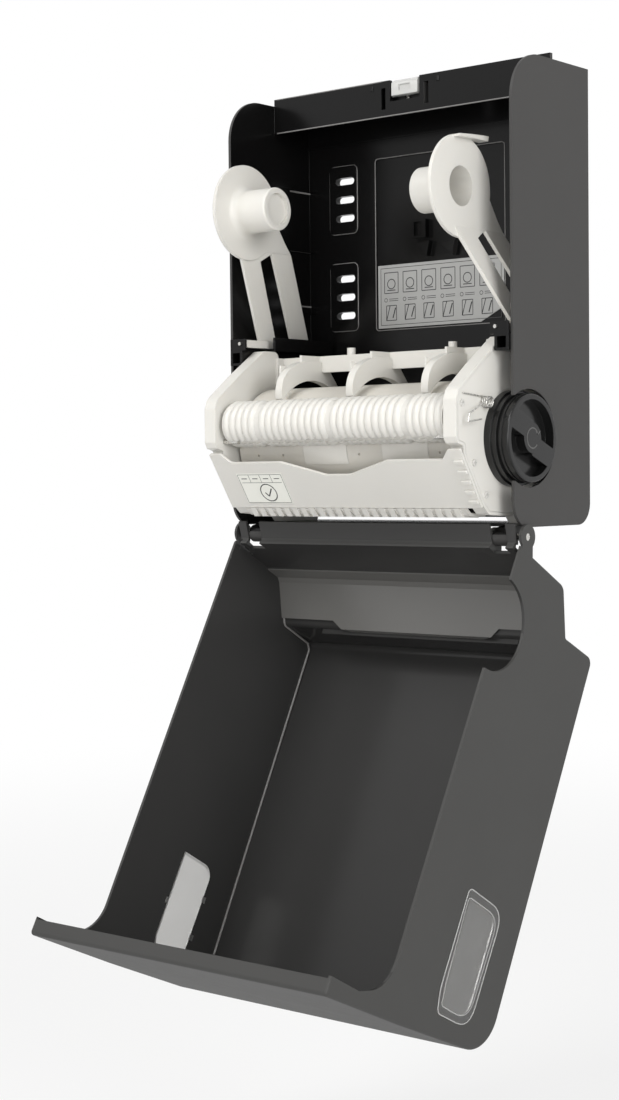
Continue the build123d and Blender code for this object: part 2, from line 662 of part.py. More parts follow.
def make_bracket():
    """Left black bracket under the arm's foot, against the casing wall."""
    floor_low = BRACKET_FLOOR_TOP - BRACKET_T + 0.6
    tab_front = FOOT_FRONT_Y - SLIDE_GAP - BRACKET_T
    tab_back = FOOT_BACK_Y + SLIDE_GAP + BRACKET_T
    outboard = PLATE_OUT + 1.5
    with BuildPart() as bracket:
        add(block(-CASE_IN, -BRACKET_IN, BRACKET_FRONT_Y, BRACKET_BACK_Y, floor_low, BRACKET_FLOOR_TOP))
        add(block(-BRACKET_IN - BRACKET_T, -BRACKET_IN, BRACKET_FRONT_Y, BRACKET_BACK_Y, floor_low, BRACKET_WALL_TOP))
        add(block(-CASE_IN, -outboard, tab_front, BRACKET_BACK_Y, floor_low, BRACKET_FLOOR_TOP))
        add(block(-CASE_IN, -outboard, tab_front, BRACKET_BACK_Y, CLIP_LOW, BRACKET_FLOOR_TOP))
        with Locations((-(CASE_IN + outboard) / 2, (tab_front + BRACKET_BACK_Y) / 2, (CLIP_LOW + floor_low) / 2)):
            Box(CASE_IN - outboard - 4.4, BRACKET_BACK_Y - tab_front + 2, floor_low - CLIP_LOW - 4, mode=Mode.SUBTRACT)
        for y in (tab_front, tab_back - BRACKET_T):
            add(block(-CASE_IN, -FOOT_X + FOOT_W / 2, y, y + BRACKET_T, floor_low, FOOT_Z + 4))
        with BuildSketch(Plane((0, tab_back + 1, 0), x_dir=(1, 0, 0), z_dir=(0, -1, 0))):
            with Locations((-FOOT_X, FOOT_Z)):
                Circle(ARM_PIN_R)
        extrude(amount=tab_back - tab_front + 2, mode=Mode.SUBTRACT)
    return bracket.part


def make_arm_pin():
    tab_front = FOOT_FRONT_Y - SLIDE_GAP - BRACKET_T
    tab_back = FOOT_BACK_Y + SLIDE_GAP + BRACKET_T
    with BuildPart() as pin:
        with BuildSketch(Plane((0, tab_back + 1.5, 0), x_dir=(1, 0, 0), z_dir=(0, -1, 0))):
            with Locations((-FOOT_X, FOOT_Z)):
                Circle(ARM_PIN_R)
        extrude(amount=tab_back - tab_front + 3)
    return pin.part


# Feed module side plates: trays that open outwards, each closed by a flat cover

PLATE_POINTS = [
    (-98.0, 9.0), (-121.5, 10.5), (-129.2, 17.2), (-155.5, 57.9), (-155.5, 64.0), (-163.0, 66.0), (-165.5, 71.0),
    (-165.5, 100.0), (-162.0, 108.0), (-135.0, 128.0), (-101.0, 150.6), (-82.0, 150.6), (-82.0, 128.0),
    (-36.0, 108.0), (-30.0, 98.0), (-30.0, CASE_T), (-76.0, CASE_T), (-82.0, 9.0),
]
PLATE_RADII = [8.0, 6.0, 6.0, 1.5, 1.5, 2.5, 2.5, 6.0, 12.0, 8.0, 2.0, 6.0, 8.0, 6.0, 3.0, 2.0, 2.0, 4.0]


def plate_face(inset):
    """Side plate outline, drawn in by an inset."""
    with BuildSketch() as outline:
        with BuildLine():
            FilletPolyline(*PLATE_POINTS, close=True, radius=PLATE_RADII)
        make_face()
        if inset > 0:
            offset(amount=-inset, kind=Kind.ARC, mode=Mode.REPLACE)
    return outline.sketch


SCREW_SPOTS = [(-142.0, 51.0), (-126.0, 26.0), (-158.0, 97.0), (-40.0, 90.0), (-40.0, 16.0)]
SCREW_R = 1.5
SCREW_HEAD_R = 2.6
SCREW_HEAD_T = 1.4
BOSS_R = 3.4
BUSH_R = 7.0


def make_side_plate(cover_bush):
    """Left side plate with its rim, screw bosses and axle hole."""
    with BuildPart() as plate:
        with BuildSketch(across(-PLATE_OUT)):
            add(plate_face(0))
        extrude(amount=PLATE_OUT - PLATE_IN)
        with BuildSketch(across(-PLATE_OUT - 1)):
            add(plate_face(PLATE_RIM))
        extrude(amount=PLATE_OUT - PLATE_IN - PLATE_WEB + 1, mode=Mode.SUBTRACT)
        for y, z in SCREW_SPOTS:
            with BuildSketch(across(-PLATE_IN - PLATE_WEB)):
                with Locations((y, z)):
                    Circle(BOSS_R)
            extrude(amount=-(PLATE_OUT - PLATE_IN - 2 * PLATE_WEB))
        with BuildSketch(across(-PLATE_OUT - 1)):
            with Locations(*SCREW_SPOTS):
                Circle(SCREW_R)
        extrude(amount=PLATE_OUT - PLATE_IN, mode=Mode.SUBTRACT)
        with BuildSketch(across(-PLATE_OUT)):
            with Locations((DRUM_Y, DRUM_Z)):
                Circle(cover_bush)
            with Locations((BAR_PIVOT_Y, BAR_PIVOT_Z)):
                Circle(BAR_PIN_R)
            with Locations((FOLLOWER_Y, FOLLOWER_Z)):
                Circle(FOLLOWER_PIN_R)
        extrude(amount=PLATE_OUT - PLATE_IN + 1, mode=Mode.SUBTRACT)
    return plate.part


def make_plate_cover(axle_hole):
    """Left flat cover that drops into the side plate's rim."""
    with BuildPart() as lid:
        with BuildSketch(across(-PLATE_OUT)):
            add(plate_face(PLATE_RIM + SEAT_GAP))
            with Locations(*SCREW_SPOTS):
                Circle(SCREW_R, mode=Mode.SUBTRACT)
            if axle_hole > 0:
                with Locations((DRUM_Y, DRUM_Z)):
                    Circle(axle_hole, mode=Mode.SUBTRACT)
        extrude(amount=PLATE_WEB)
    return lid.part


def make_plate_screws():
    """Five pan head screws in the left side plate."""
    with BuildPart() as screws:
        for y, z in SCREW_SPOTS:
            add(rod(-PLATE_OUT, -PLATE_OUT + 8, y, z, SCREW_R))
            add(rod(-PLATE_OUT - SCREW_HEAD_T, -PLATE_OUT, y, z, SCREW_HEAD_R))
            with Locations((-PLATE_OUT - SCREW_HEAD_T, y, z)):
                Box(1.2, 0.8, 3.2, mode=Mode.SUBTRACT)
                Box(1.2, 3.2, 0.8, mode=Mode.SUBTRACT)
    return screws.part


def make_bush():
    """Left flanged bush for the drum axle."""
    with BuildPart() as bush:
        with BuildSketch(across(-PLATE_IN - PLATE_WEB - 1.5)):
            with Locations((DRUM_Y, DRUM_Z)):
                Circle(BUSH_R)
        extrude(amount=PLATE_WEB + 1.5)
        with BuildSketch(across(-PLATE_IN)):
            with Locations((DRUM_Y, DRUM_Z)):
                Circle(BUSH_R + 2)
        extrude(amount=1.2)
        add(rod(-PLATE_OUT, -PLATE_IN + 3, DRUM_Y, DRUM_Z, AXLE_R + AXLE_FIT), mode=Mode.SUBTRACT)
    return bush.part


# Guide frame: a rear crossbeam with three hoops over the drum

BEAM_FRONT_Y = -78.0
BEAM_BACK_Y = -62.0
BEAM_LOW = 131.0
BEAM_TOP = 145.0
BEAM_T = 2.4
HOOP_FRONT_DEG = 138.0
HOOP_BACK_DEG = 28.0


def polar(r, angle):
    """Point at a radius and an angle round the drum axis, in Y and Z."""
    return (DRUM_Y + r * cos(radians(angle)), DRUM_Z + r * sin(radians(angle)))


def make_guide_frame():
    crown = (GUIDE_R_OUT + GUIDE_R_IN) / 2
    with BuildPart() as frame:
        for step in (-1, 0, 1):
            x = step * GUIDE_PITCH
            with BuildSketch(across(x - GUIDE_W / 2)):
                with BuildLine():
                    ThreePointArc(polar(GUIDE_R_IN, HOOP_FRONT_DEG), polar(GUIDE_R_IN, 95), polar(GUIDE_R_IN, HOOP_BACK_DEG))
                    Line(polar(GUIDE_R_IN, HOOP_BACK_DEG), polar(GUIDE_R_IN + 6, HOOP_BACK_DEG))
                    Line(polar(GUIDE_R_IN + 6, HOOP_BACK_DEG), polar(GUIDE_R_OUT, 75))
                    ThreePointArc(polar(GUIDE_R_OUT, 75), polar(GUIDE_R_OUT, 95), polar(GUIDE_R_OUT - 1, 115))
                    ThreePointArc(polar(GUIDE_R_OUT - 1, 115), polar(crown + 2, 129), polar(GUIDE_R_IN + 2, HOOP_FRONT_DEG))
                    Line(polar(GUIDE_R_IN + 2, HOOP_FRONT_DEG), polar(GUIDE_R_IN, HOOP_FRONT_DEG))
                make_face()
            extrude(amount=GUIDE_W)
            # Thin fin on the hoop's crown
            add(block(x - 1, x + 1, DRUM_Y - 12, BEAM_FRONT_Y + 2, BEAM_LOW, BEAM_TOP))
            # Small upright rib beside the hoop's front end
            rib_y, rib_z = polar(GUIDE_R_OUT - 4, 118)
            add(block(x - GUIDE_W / 2 - 1.6, x - GUIDE_W / 2, rib_y - 3, rib_y + 3, rib_z - 5, rib_z + 7))
        # Crossbeam: an angle section with end flanges screwed to the side plates
        add(block(-PLATE_IN, PLATE_IN, BEAM_FRONT_Y, BEAM_FRONT_Y + BEAM_T, BEAM_LOW, BEAM_TOP))
        add(block(-PLATE_IN, PLATE_IN, BEAM_FRONT_Y, BEAM_BACK_Y, BEAM_TOP - BEAM_T, BEAM_TOP))
        for side in (-1, 1):
            add(slab(side * PLATE_IN, side * (PLATE_IN - BEAM_T), [
                (BEAM_FRONT_Y - 8, BEAM_LOW - 8), (BEAM_FRONT_Y - 8, BEAM_TOP), (BEAM_FRONT_Y + 4, BEAM_TOP),
                (BEAM_FRONT_Y + 4, BEAM_LOW - 8)]))
        for x, r in ((-44.0, 3.6), (62.0, 3.6), (98.0, 2.4)):
            with BuildSketch(Plane.XY.offset(BEAM_TOP)):
                with Locations((x, (BEAM_FRONT_Y + BEAM_BACK_Y) / 2 - 3)):
                    Circle(r)
            extrude(amount=6)
    return frame.part


# Front plate, slanted, with a wave-cut top edge; comb below it

FRONT_TOP_Y = -160.6
FRONT_TOP_Z = 61.0
FRONT_BOTTOM_Y = -131.4
FRONT_BOTTOM_Z = 15.6
FRONT_T = 2.4
WAVE_DROP = 13.0
WAVE_FLAT = 55.0
WAVE_MID = 12.0
WAVE_STEP = 9.0


def front_plane(lift):
    """Plane of the slanted front plate, X across and Y up the slope."""
    slope = atan2(FRONT_TOP_Z - FRONT_BOTTOM_Z, FRONT_BOTTOM_Y - FRONT_TOP_Y)
    up = (0, -cos(slope), sin(slope))
    out = (0, -sin(slope), -cos(slope))
    base = (out[0] * lift, FRONT_BOTTOM_Y + out[1] * lift, FRONT_BOTTOM_Z + out[2] * lift)
    return Plane(base, x_dir=(1, 0, 0), z_dir=out), up


def make_front_plate():
    run = hypot(FRONT_TOP_Z - FRONT_BOTTOM_Z, FRONT_BOTTOM_Y - FRONT_TOP_Y)
    half = PLATE_OUT - SEAT_GAP
    plane, up = front_plane(0)
    ledge = run - WAVE_STEP
    with BuildPart() as front:
        with BuildSketch(plane):
            with BuildLine():
                FilletPolyline(
                    (half, 0), (half, run), (half - 12, run), (half - 20, ledge), (WAVE_FLAT, ledge),
                    (WAVE_MID, ledge - WAVE_DROP), (-WAVE_MID, ledge - WAVE_DROP), (-WAVE_FLAT, ledge),
                    (-half + 20, ledge), (-half + 12, run), (-half, run), (-half, 0),
                    close=True, radius=[0.5, 0.5, 2, 5, 14, 14, 14, 14, 5, 2, 0.5, 0.5],
                )
            make_face()
        extrude(amount=-FRONT_T)
    return front.part


COMB_RIBS = 24
COMB_PITCH = 9.2
COMB_RIB_W = 5.4
COMB_T = 2.4


def make_comb():
    """Ribbed lip that turns under the front plate."""
    half = PLATE_IN - 3.5
    with BuildPart() as comb:
        with BuildSketch(across(-half)):
            with BuildLine():
                lip = FilletPolyline((-131.0, 14.6), (-125.0, 9.4), (-104.0, 8.6), radius=5)
                offset(lip, amount=COMB_T, side=Side.LEFT)
            make_face()
        extrude(amount=2 * half)
        for i in range(COMB_RIBS):
            x = (i - (COMB_RIBS - 1) / 2) * COMB_PITCH
            with BuildSketch(across(x - COMB_RIB_W / 2)):
                Polygon((-132.4, 15.4), (-127.2, 8.2), (-105.0, 7.6), (-105.0, 9.8), (-124.6, 10.6), (-130.0, 15.4), align=None)
            extrude(amount=COMB_RIB_W)
    return comb.part


STICKER_W = 50.0
STICKER_H = 30.0
STICKER_X = -84.0


def make_sticker():
    """Bare inspection label on the front plate."""
    plane, up = front_plane(0)
    run = hypot(FRONT_TOP_Z - FRONT_BOTTOM_Z, FRONT_BOTTOM_Y - FRONT_TOP_Y)
    with BuildPart() as sticker:
        with BuildSketch(plane):
            with Locations((STICKER_X, run / 2 - 7.5)):
                Rectangle(STICKER_W, STICKER_H)
        extrude(amount=0.25)
    return sticker.part


# Cutting drum with its axle, caps, cam and sliding knife

KNIFE_DEG = -90.0
KNIFE_TIP = 46.0
KNIFE_TRAVEL = 5.0
KNIFE_T = 0.8
KNIFE_SLOT = 2.6
CARRIER_HALF_T = 4.0
CARRIER_LOW = 22.0
CARRIER_HIGH = 33.0
PAD_COUNT = 4
GRIP_DEG = 192.0
GRIP_ARC = 22.0
GRIP_T = 0.8
GRIP_L = 46.0


def drum_plane(x):
    """Plane across the drum axis turned so its X axis points to the knife slot."""
    a = radians(KNIFE_DEG)
    return Plane((x, DRUM_Y, DRUM_Z), x_dir=(0, cos(a), sin(a)), z_dir=(1, 0, 0))


def make_drum():
    with BuildPart() as drum:
        with BuildSketch(across(-DRUM_HALF)):
            with Locations((DRUM_Y, DRUM_Z)):
                Circle(DRUM_R)
                Circle(DRUM_R - DRUM_T, mode=Mode.SUBTRACT)
        extrude(amount=2 * DRUM_HALF)
        with BuildSketch(drum_plane(-KNIFE_HALF - 1)):
            with Locations((DRUM_R, 0)):
                Rectangle(4 * DRUM_T, KNIFE_SLOT)
        extrude(amount=2 * KNIFE_HALF + 2, mode=Mode.SUBTRACT)
        # Seats for the rubber grip pads
        for x in GRIP_X:
            add(grip_arc(x, DRUM_R - GRIP_T, DRUM_R + 1, 0), mode=Mode.SUBTRACT)
        # Two rows of small moulded pips on the front
        for angle in (180 - PIP_DEG, 180 + PIP_DEG):
            for i in range(PIP_COUNT):
                x = (i - (PIP_COUNT - 1) / 2) * PIP_PITCH
                y, z = polar(DRUM_R - PIP_DEPTH, angle)
                out = (0, cos(radians(angle)), sin(radians(angle)))
                with BuildSketch(Plane((x, y, z), x_dir=(1, 0, 0), z_dir=out)):
                    Circle(PIP_R)
                extrude(amount=2 * PIP_DEPTH, mode=Mode.SUBTRACT)
    return drum.part


KNIFE_HALF = 103.0
GRIP_X = (-22.0, 60.0)
PIP_DEG = 13.0
PIP_COUNT = 8
PIP_PITCH = 27.0
PIP_R = 1.1
PIP_DEPTH = 1.4


def grip_arc(x, r_in, r_out, trim):
    """Curved strip on the drum's front, trimmed in by a clearance."""
    a0 = GRIP_DEG - GRIP_ARC / 2 + degrees(trim / DRUM_R)
    a1 = GRIP_DEG + GRIP_ARC / 2 - degrees(trim / DRUM_R)
    with BuildPart() as strip:
        with BuildSketch(across(x - GRIP_L / 2 + trim)):
            with BuildLine():
                ThreePointArc(polar(r_in, a0), polar(r_in, GRIP_DEG), polar(r_in, a1))
                Line(polar(r_in, a1), polar(r_out, a1))
                ThreePointArc(polar(r_out, a1), polar(r_out, GRIP_DEG), polar(r_out, a0))
                Line(polar(r_out, a0), polar(r_in, a0))
            make_face()
        extrude(amount=GRIP_L - 2 * trim)
    return strip.part


def make_grips():
    """Rubber pads that grip the paper."""
    with BuildPart() as pads:
        for x in GRIP_X:
            add(grip_arc(x, DRUM_R - GRIP_T, DRUM_R + 0.1, SEAT_GAP))
    return pads.part


def make_drum_cap():
    """Left end cap with a hub and two guide ribs for the knife carrier."""
    inner = -DRUM_HALF + 0.5 + CAP_T
    with BuildPart() as cap:
        add(rod(-DRUM_HALF + 0.5, inner, DRUM_Y, DRUM_Z, DRUM_R - DRUM_T))
        add(rod(-DRUM_HALF + 0.5, inner + 8, DRUM_Y, DRUM_Z, AXLE_R + 4))
        with BuildSketch(drum_plane(inner)):
            for side in (-1, 1):
                with Locations((CARRIER_LOW + 9, side * (CARRIER_HALF_T + SLIDE_GAP + 1))):
                    Rectangle(24, 2)
        extrude(amount=5)
        add(rod(-DRUM_HALF - 1, inner + 9, DRUM_Y, DRUM_Z, AXLE_R), mode=Mode.SUBTRACT)
    return cap.part


def make_drum_axle():
    with BuildPart() as axle:
        add(rod(-PLATE_OUT + PLATE_WEB + SLIDE_GAP, KNOB_FACE_X - 7, DRUM_Y, DRUM_Z, AXLE_R))
    return axle.part


def make_knife_carrier():
    half = DRUM_HALF - 0.5 - CAP_T - SLIDE_GAP
    with BuildPart() as carrier:
        with BuildSketch(drum_plane(-half)):
            with Locations(((CARRIER_LOW + CARRIER_HIGH) / 2, 0)):
                Rectangle(CARRIER_HIGH - CARRIER_LOW, 2 * CARRIER_HALF_T)
            with Locations((CARRIER_HIGH - 2.5, 0)):
                Rectangle(5, KNIFE_T, mode=Mode.SUBTRACT)
        extrude(amount=2 * half)
    return carrier.part


KNIFE_TEETH = 34


def make_knife():
    """Serrated blade standing in the carrier's groove."""
    a = radians(KNIFE_DEG)
    out = (0, cos(a), sin(a))
    across_blade = (0, -sin(a), cos(a))
    base = (0, DRUM_Y + across_blade[1] * KNIFE_T / 2, DRUM_Z + across_blade[2] * KNIFE_T / 2)
    pitch = 2 * KNIFE_HALF / KNIFE_TEETH
    teeth = []
    for i in range(KNIFE_TEETH):
        x = KNIFE_HALF - i * pitch
        teeth += [(x, KNIFE_TIP - 3), (x - pitch / 2, KNIFE_TIP)]
    points = [(-KNIFE_HALF, KNIFE_TIP - 3), (-KNIFE_HALF, CARRIER_HIGH - 5), (KNIFE_HALF, CARRIER_HIGH - 5)] + teeth
    plane = Plane(base, x_dir=(1, 0, 0), z_dir=tuple(-v for v in across_blade))
    if plane.y_dir.dot(Vector(*out)) < 0:
        points = [(x, -u) for x, u in points]
    with BuildPart() as knife:
        with BuildSketch(plane):
            Polygon(*points, align=None)
        extrude(amount=KNIFE_T)
    return knife.part


# Detent: a cam on the drum axle and a sprung follower in the left side plate

CAM_R = 15.0
CAM_LOBE = 5.0
CAM_T = 4.5
CAM_DEG = 62.0
FOLLOWER_Y = -56.0
FOLLOWER_Z = 86.0
FOLLOWER_PIN_R = 2.0
FOLLOWER_TIP_R = 4.0


def make_cam():
    x0 = -PLATE_IN - PLATE_WEB - 1.5 - CAM_T - SLIDE_GAP
    a = radians(CAM_DEG)
    lobe_r = 6.0
    with BuildPart() as cam:
        with BuildSketch(across(x0)):
            with Locations((DRUM_Y, DRUM_Z)):
                Circle(CAM_R)
            reach = CAM_R + CAM_LOBE - lobe_r
            tip = (DRUM_Y + reach * cos(a), DRUM_Z + reach * sin(a))
            with Locations(tip):
                Circle(lobe_r)
            side = asin_deg((CAM_R - lobe_r) / reach)
            edge = []
            for sign in (1, -1):
                b = a + sign * radians(90 - side)
                edge.append((DRUM_Y + CAM_R * cos(b), DRUM_Z + CAM_R * sin(b)))
                edge.append((tip[0] + lobe_r * cos(b), tip[1] + lobe_r * sin(b)))
            Polygon(edge[0], edge[1], edge[3], edge[2], align=None)
            with Locations((DRUM_Y, DRUM_Z)):
                Circle(AXLE_R, mode=Mode.SUBTRACT)
        extrude(amount=CAM_T)
    return cam.part


def asin_deg(value):
    """Arc sine in degrees."""
    return degrees(atan2(value, sqrt(1 - value * value)))


def make_follower():
    """Lever on its own pin whose nose rests on the cam."""
    x0 = -PLATE_IN - PLATE_WEB - 1.5 - CAM_T - SLIDE_GAP
    reach = CAM_R + CAM_LOBE + FOLLOWER_TIP_R + SLIDE_GAP
    nose = polar(reach, CAM_DEG)
    arm = hypot(nose[0] - FOLLOWER_Y, nose[1] - FOLLOWER_Z)
    mid = ((nose[0] + FOLLOWER_Y) / 2, (nose[1] + FOLLOWER_Z) / 2)
    angle = degrees(atan2(nose[1] - FOLLOWER_Z, nose[0] - FOLLOWER_Y))
    with BuildPart() as lever:
        with BuildSketch(across(x0)):
            with Locations(nose):
                Circle(FOLLOWER_TIP_R)
            with Locations((FOLLOWER_Y, FOLLOWER_Z)):
                Circle(5.0)
            with Locations(mid):
                Rectangle(arm, 6.0, rotation=angle)
            with Locations((FOLLOWER_Y, FOLLOWER_Z)):
                Circle(FOLLOWER_PIN_R + AXLE_FIT, mode=Mode.SUBTRACT)
        extrude(amount=CAM_T)
    return lever.part


# Ribbed press bar with its roller

BAR_GROUPS = (5, 10, 10, 5)


def rib_centres():
    """Middle of each rib along X, in groups that leave gaps at the hoops."""
    centres = []
    spans = ((-2, 5), (-1, 10), (0, 10), (1, 5))
    for index, count in spans:
        if index == -2:
            start = -BAR_HALF + 1.0
        elif index == 1:
            start = GUIDE_PITCH + GROUP_GAP / 2
        else:
            start = index * GUIDE_PITCH + GROUP_GAP / 2
        room = GUIDE_PITCH - GROUP_GAP if abs(index + 0.5) < 1 else BAR_HALF - 1.0 - GUIDE_PITCH - GROUP_GAP / 2
        pitch = room / count
        centres += [(start + (i + 0.5) * pitch, pitch) for i in range(count)]
    return centres


GROUP_GAP = 5.0


def make_press_bar():
    core_r = BAR_R - RIB_DEPTH
    with BuildPart() as bar:
        # Scalloped body of revolution: each rib is one arc of the outline
        outline = [(-BAR_HALF, 0), (-BAR_HALF, core_r)]
        with BuildSketch(Plane((0, BAR_Y, BAR_Z), x_dir=(1, 0, 0), z_dir=(0, 0, 1))):
            with BuildLine():
                last = (-BAR_HALF, core_r)
                Line((-BAR_HALF, 0), last)
                for centre, pitch in rib_centres():
                    first = (centre - pitch / 2, core_r)
                    if first[0] - last[0] > 0.01:
                        Line(last, first)
                    else:
                        first = last
                    last = (centre + pitch / 2, core_r)
                    ThreePointArc(first, (centre, BAR_R), last)
                Line(last, (BAR_HALF, core_r))
                Line((BAR_HALF, core_r), (BAR_HALF, 0))
                Line((BAR_HALF, 0), (-BAR_HALF, 0))
            make_face()
        revolve(axis=Axis((0, BAR_Y, BAR_Z), (1, 0, 0)))
        # Hollowed behind to follow the drum
        add(rod(-BAR_HALF - 1, BAR_HALF + 1, DRUM_Y, DRUM_Z, GUIDE_R_IN), mode=Mode.SUBTRACT)
        # Groove for the roller, and axle bores in the end walls
        ry, rz = roller_centre()
        end = BAR_HALF - 3.5
        add(rod(-end, end, ry, rz, ROLLER_R + 1.2), mode=Mode.SUBTRACT)
        add(rod(-BAR_HALF - 1, BAR_HALF + 1, ry, rz, ROLLER_AXLE_R), mode=Mode.SUBTRACT)
        add(rod(-BAR_HALF - 1, BAR_HALF + 1, BAR_PIVOT_Y, BAR_PIVOT_Z, BAR_PIN_R + AXLE_FIT), mode=Mode.SUBTRACT)
    return bar.part


def roller_centre():
    """Roller axis, on the line from the drum axis to the bar's middle."""
    d = hypot(BAR_Y - DRUM_Y, BAR_Z - DRUM_Z)
    reach = DRUM_R + ROLLER_R + ROLLER_GAP
    return (DRUM_Y + (BAR_Y - DRUM_Y) * reach / d, DRUM_Z + (BAR_Z - DRUM_Z) * reach / d)


def make_roller():
    ry, rz = roller_centre()
    half = BAR_HALF - 3.5 - SLIDE_GAP
    with BuildPart() as roller:
        add(rod(-half, half, ry, rz, ROLLER_R))
        add(rod(-half - 1, half + 1, ry, rz, ROLLER_AXLE_R + AXLE_FIT), mode=Mode.SUBTRACT)
    return roller.part


def make_roller_axle():
    ry, rz = roller_centre()
    return rod(-BAR_HALF, BAR_HALF, ry, rz, ROLLER_AXLE_R)


def make_bar_pin():
    """Left pivot pin of the press bar, held in the side plate."""
    return rod(-PLATE_IN - PLATE_WEB, -BAR_HALF + 12, BAR_PIVOT_Y, BAR_PIVOT_Z, BAR_PIN_R)


# Bent wire spring on the right side plate

WIRE_R = 0.65
COIL_R = 4.0
COIL_TURNS = 3
COIL_Y = -128.0
COIL_Z = 98.0


def make_wire_spring():
    x0 = PLATE_OUT + 0.3 + WIRE_R
    pitch = 2 * WIRE_R + 0.5
    coil_end = x0 + COIL_TURNS * pitch
    with BuildPart() as spring:
        with BuildLine():
            turns = Helix(pitch, COIL_TURNS * pitch, COIL_R, center=(x0, COIL_Y, COIL_Z), direction=(1, 0, 0))
        with BuildSketch(Plane(turns @ 0, z_dir=turns % 0)):
            Circle(WIRE_R)
        sweep(path=turns)
        start = turns @ 0
        finish = turns @ 1
        for point, leg in (
            (start, [(x0, -157.0, 104.5)]),
            (finish, [(coil_end, -157.0, 88.5), (coil_end, -158.5, 82.5), (coil_end, -141.0, 84.5)]),
        ):
            route = [tuple(point)] + leg
            for a, b in zip(route, route[1:]):
                add(wire_run(a, b))
    return spring.part


def wire_run(a, b):
    """Straight stretch of wire with round ends."""
    along = Vector(*b) - Vector(*a)
    with BuildPart() as run:
        with BuildSketch(Plane(a, z_dir=along)):
            Circle(WIRE_R)
        extrude(amount=along.length)
        with Locations(a, b):
            Sphere(WIRE_R)
    return run.part


# Knob: a turning disc with two swept finger recesses, in a fixed ring

KNOB_BAR_HALF = 9.0
KNOB_BOSS_R = 12.0
KNOB_RIM = 4.5
KNOB_RECESS = 8.0
KNOB_TILT = -22.0
KNOB_STEM_R = 9.0


def make_knob():
    with BuildPart() as knob:
        add(rod(KNOB_BACK_X, KNOB_FACE_X, DRUM_Y, DRUM_Z, KNOB_R))
        face_edge = knob.edges().filter_by(GeomType.CIRCLE).sort_by(Axis.X)[-1]
        fillet(face_edge, 1.2)
        add(rod(PLATE_OUT - PLATE_WEB + SLIDE_GAP, KNOB_BACK_X, DRUM_Y, DRUM_Z, KNOB_STEM_R))
        turned = Plane((KNOB_FACE_X - KNOB_RECESS, DRUM_Y, DRUM_Z),
                       x_dir=(0, cos(radians(KNOB_TILT)), sin(radians(KNOB_TILT))), z_dir=(1, 0, 0))
        for side in (1, -1):
            with BuildSketch(turned):
                Circle(KNOB_R - KNOB_RIM)
                with Locations((0, -side * (KNOB_R - KNOB_BAR_HALF * 0.35))):
                    Rectangle(3 * KNOB_R, 2 * KNOB_R, mode=Mode.SUBTRACT)
                with Locations((-side * KNOB_R, 0)):
                    Rectangle(2 * KNOB_R - 8, 2 * KNOB_BAR_HALF + 8, mode=Mode.SUBTRACT)
                Circle(KNOB_BOSS_R, mode=Mode.SUBTRACT)
            extrude(amount=KNOB_RECESS + 1, mode=Mode.SUBTRACT)
        with BuildSketch(across(KNOB_FACE_X - 5)):
            with Locations((DRUM_Y, DRUM_Z)):
                Circle(KNOB_R + 1)
                Circle(KNOB_R - 0.8, mode=Mode.SUBTRACT)
        extrude(amount=-1.6, mode=Mode.SUBTRACT)
        add(rod(PLATE_OUT - PLATE_WEB, KNOB_FACE_X - 7, DRUM_Y, DRUM_Z, AXLE_R), mode=Mode.SUBTRACT)
    return knob.part


def make_knob_ring():
    x0 = PLATE_OUT
    with BuildPart() as ring:
        add(rod(x0, x0 + 6, DRUM_Y, DRUM_Z, KNOB_RING_R))
        add(rod(x0 + 6, KNOB_BACK_X + 4, DRUM_Y, DRUM_Z, KNOB_R + 2))
        add(rod(x0 + 3, KNOB_BACK_X + 5, DRUM_Y, DRUM_Z, KNOB_R + 0.4), mode=Mode.SUBTRACT)
        add(rod(x0 - 1, x0 + 4, DRUM_Y, DRUM_Z, KNOB_STEM_R + SLIDE_GAP), mode=Mode.SUBTRACT)
    return ring.part


def make_hinge_pin():
    """Left hinge pin, held in the cover's ear and lug."""
    inner = HOOK_X - HOOK_W / 2 - LUG_GAP - LUG_T
    return rod(-COVER_W / 2 + 0.3, -inner, HINGE_Y, HINGE_Z, HINGE_PIN_R)


save(make_housing(), "rear_housing")
save(make_catch(), "latch_catch")
save(make_latch_spring(), "latch_spring")
save(make_label(), "instruction_label")
save(make_cover(), "cover_shell", on_cover=True)
save(make_chute(), "paper_chute", on_cover=True)
save_pair(make_window(), "window", on_cover=True)
save_pair(make_hinge_pin(), "hinge_pin", on_cover=True)
save(make_arm(False), "left_arm")
save(mirror(make_arm(True), about=Plane.YZ), "right_arm")
save_pair(make_bracket(), "arm_bracket")
save_pair(make_arm_pin(), "arm_pin")
save_pair(make_side_plate(BUSH_R), "side_plate")
save(make_plate_cover(0), "left_plate_cover")
save(mirror(make_plate_cover(KNOB_STEM_R + SLIDE_GAP), about=Plane.YZ), "right_plate_cover")
save_pair(make_plate_screws(), "plate_screws")
save_pair(make_bush(), "axle_bush")
save(make_guide_frame(), "guide_frame")
save(make_front_plate(), "front_plate")
save(make_comb(), "exit_comb")
save(make_sticker(), "inspection_label")
save(make_drum(), "drum_shell")
save_pair(make_drum_cap(), "drum_cap")
save(make_drum_axle(), "drum_axle")
save(make_grips(), "grip_pads")
save(make_knife_carrier(), "knife_carrier")
save(make_knife(), "knife_blade")
save(make_cam(), "detent_cam")
save(make_follower(), "cam_follower")
save(rod(-PLATE_OUT + PLATE_WEB, -PLATE_IN, FOLLOWER_Y, FOLLOWER_Z, FOLLOWER_PIN_R), "follower_pin")
save(make_press_bar(), "press_bar")
save_pair(make_bar_pin(), "press_bar_pin")
save(make_roller(), "pressure_roller")
save(make_roller_axle(), "roller_axle")
save(make_wire_spring(), "press_bar_spring")
save(make_knob(), "knob")
save(make_knob_ring(), "knob_ring")
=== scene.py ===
from math import cos, radians, sin

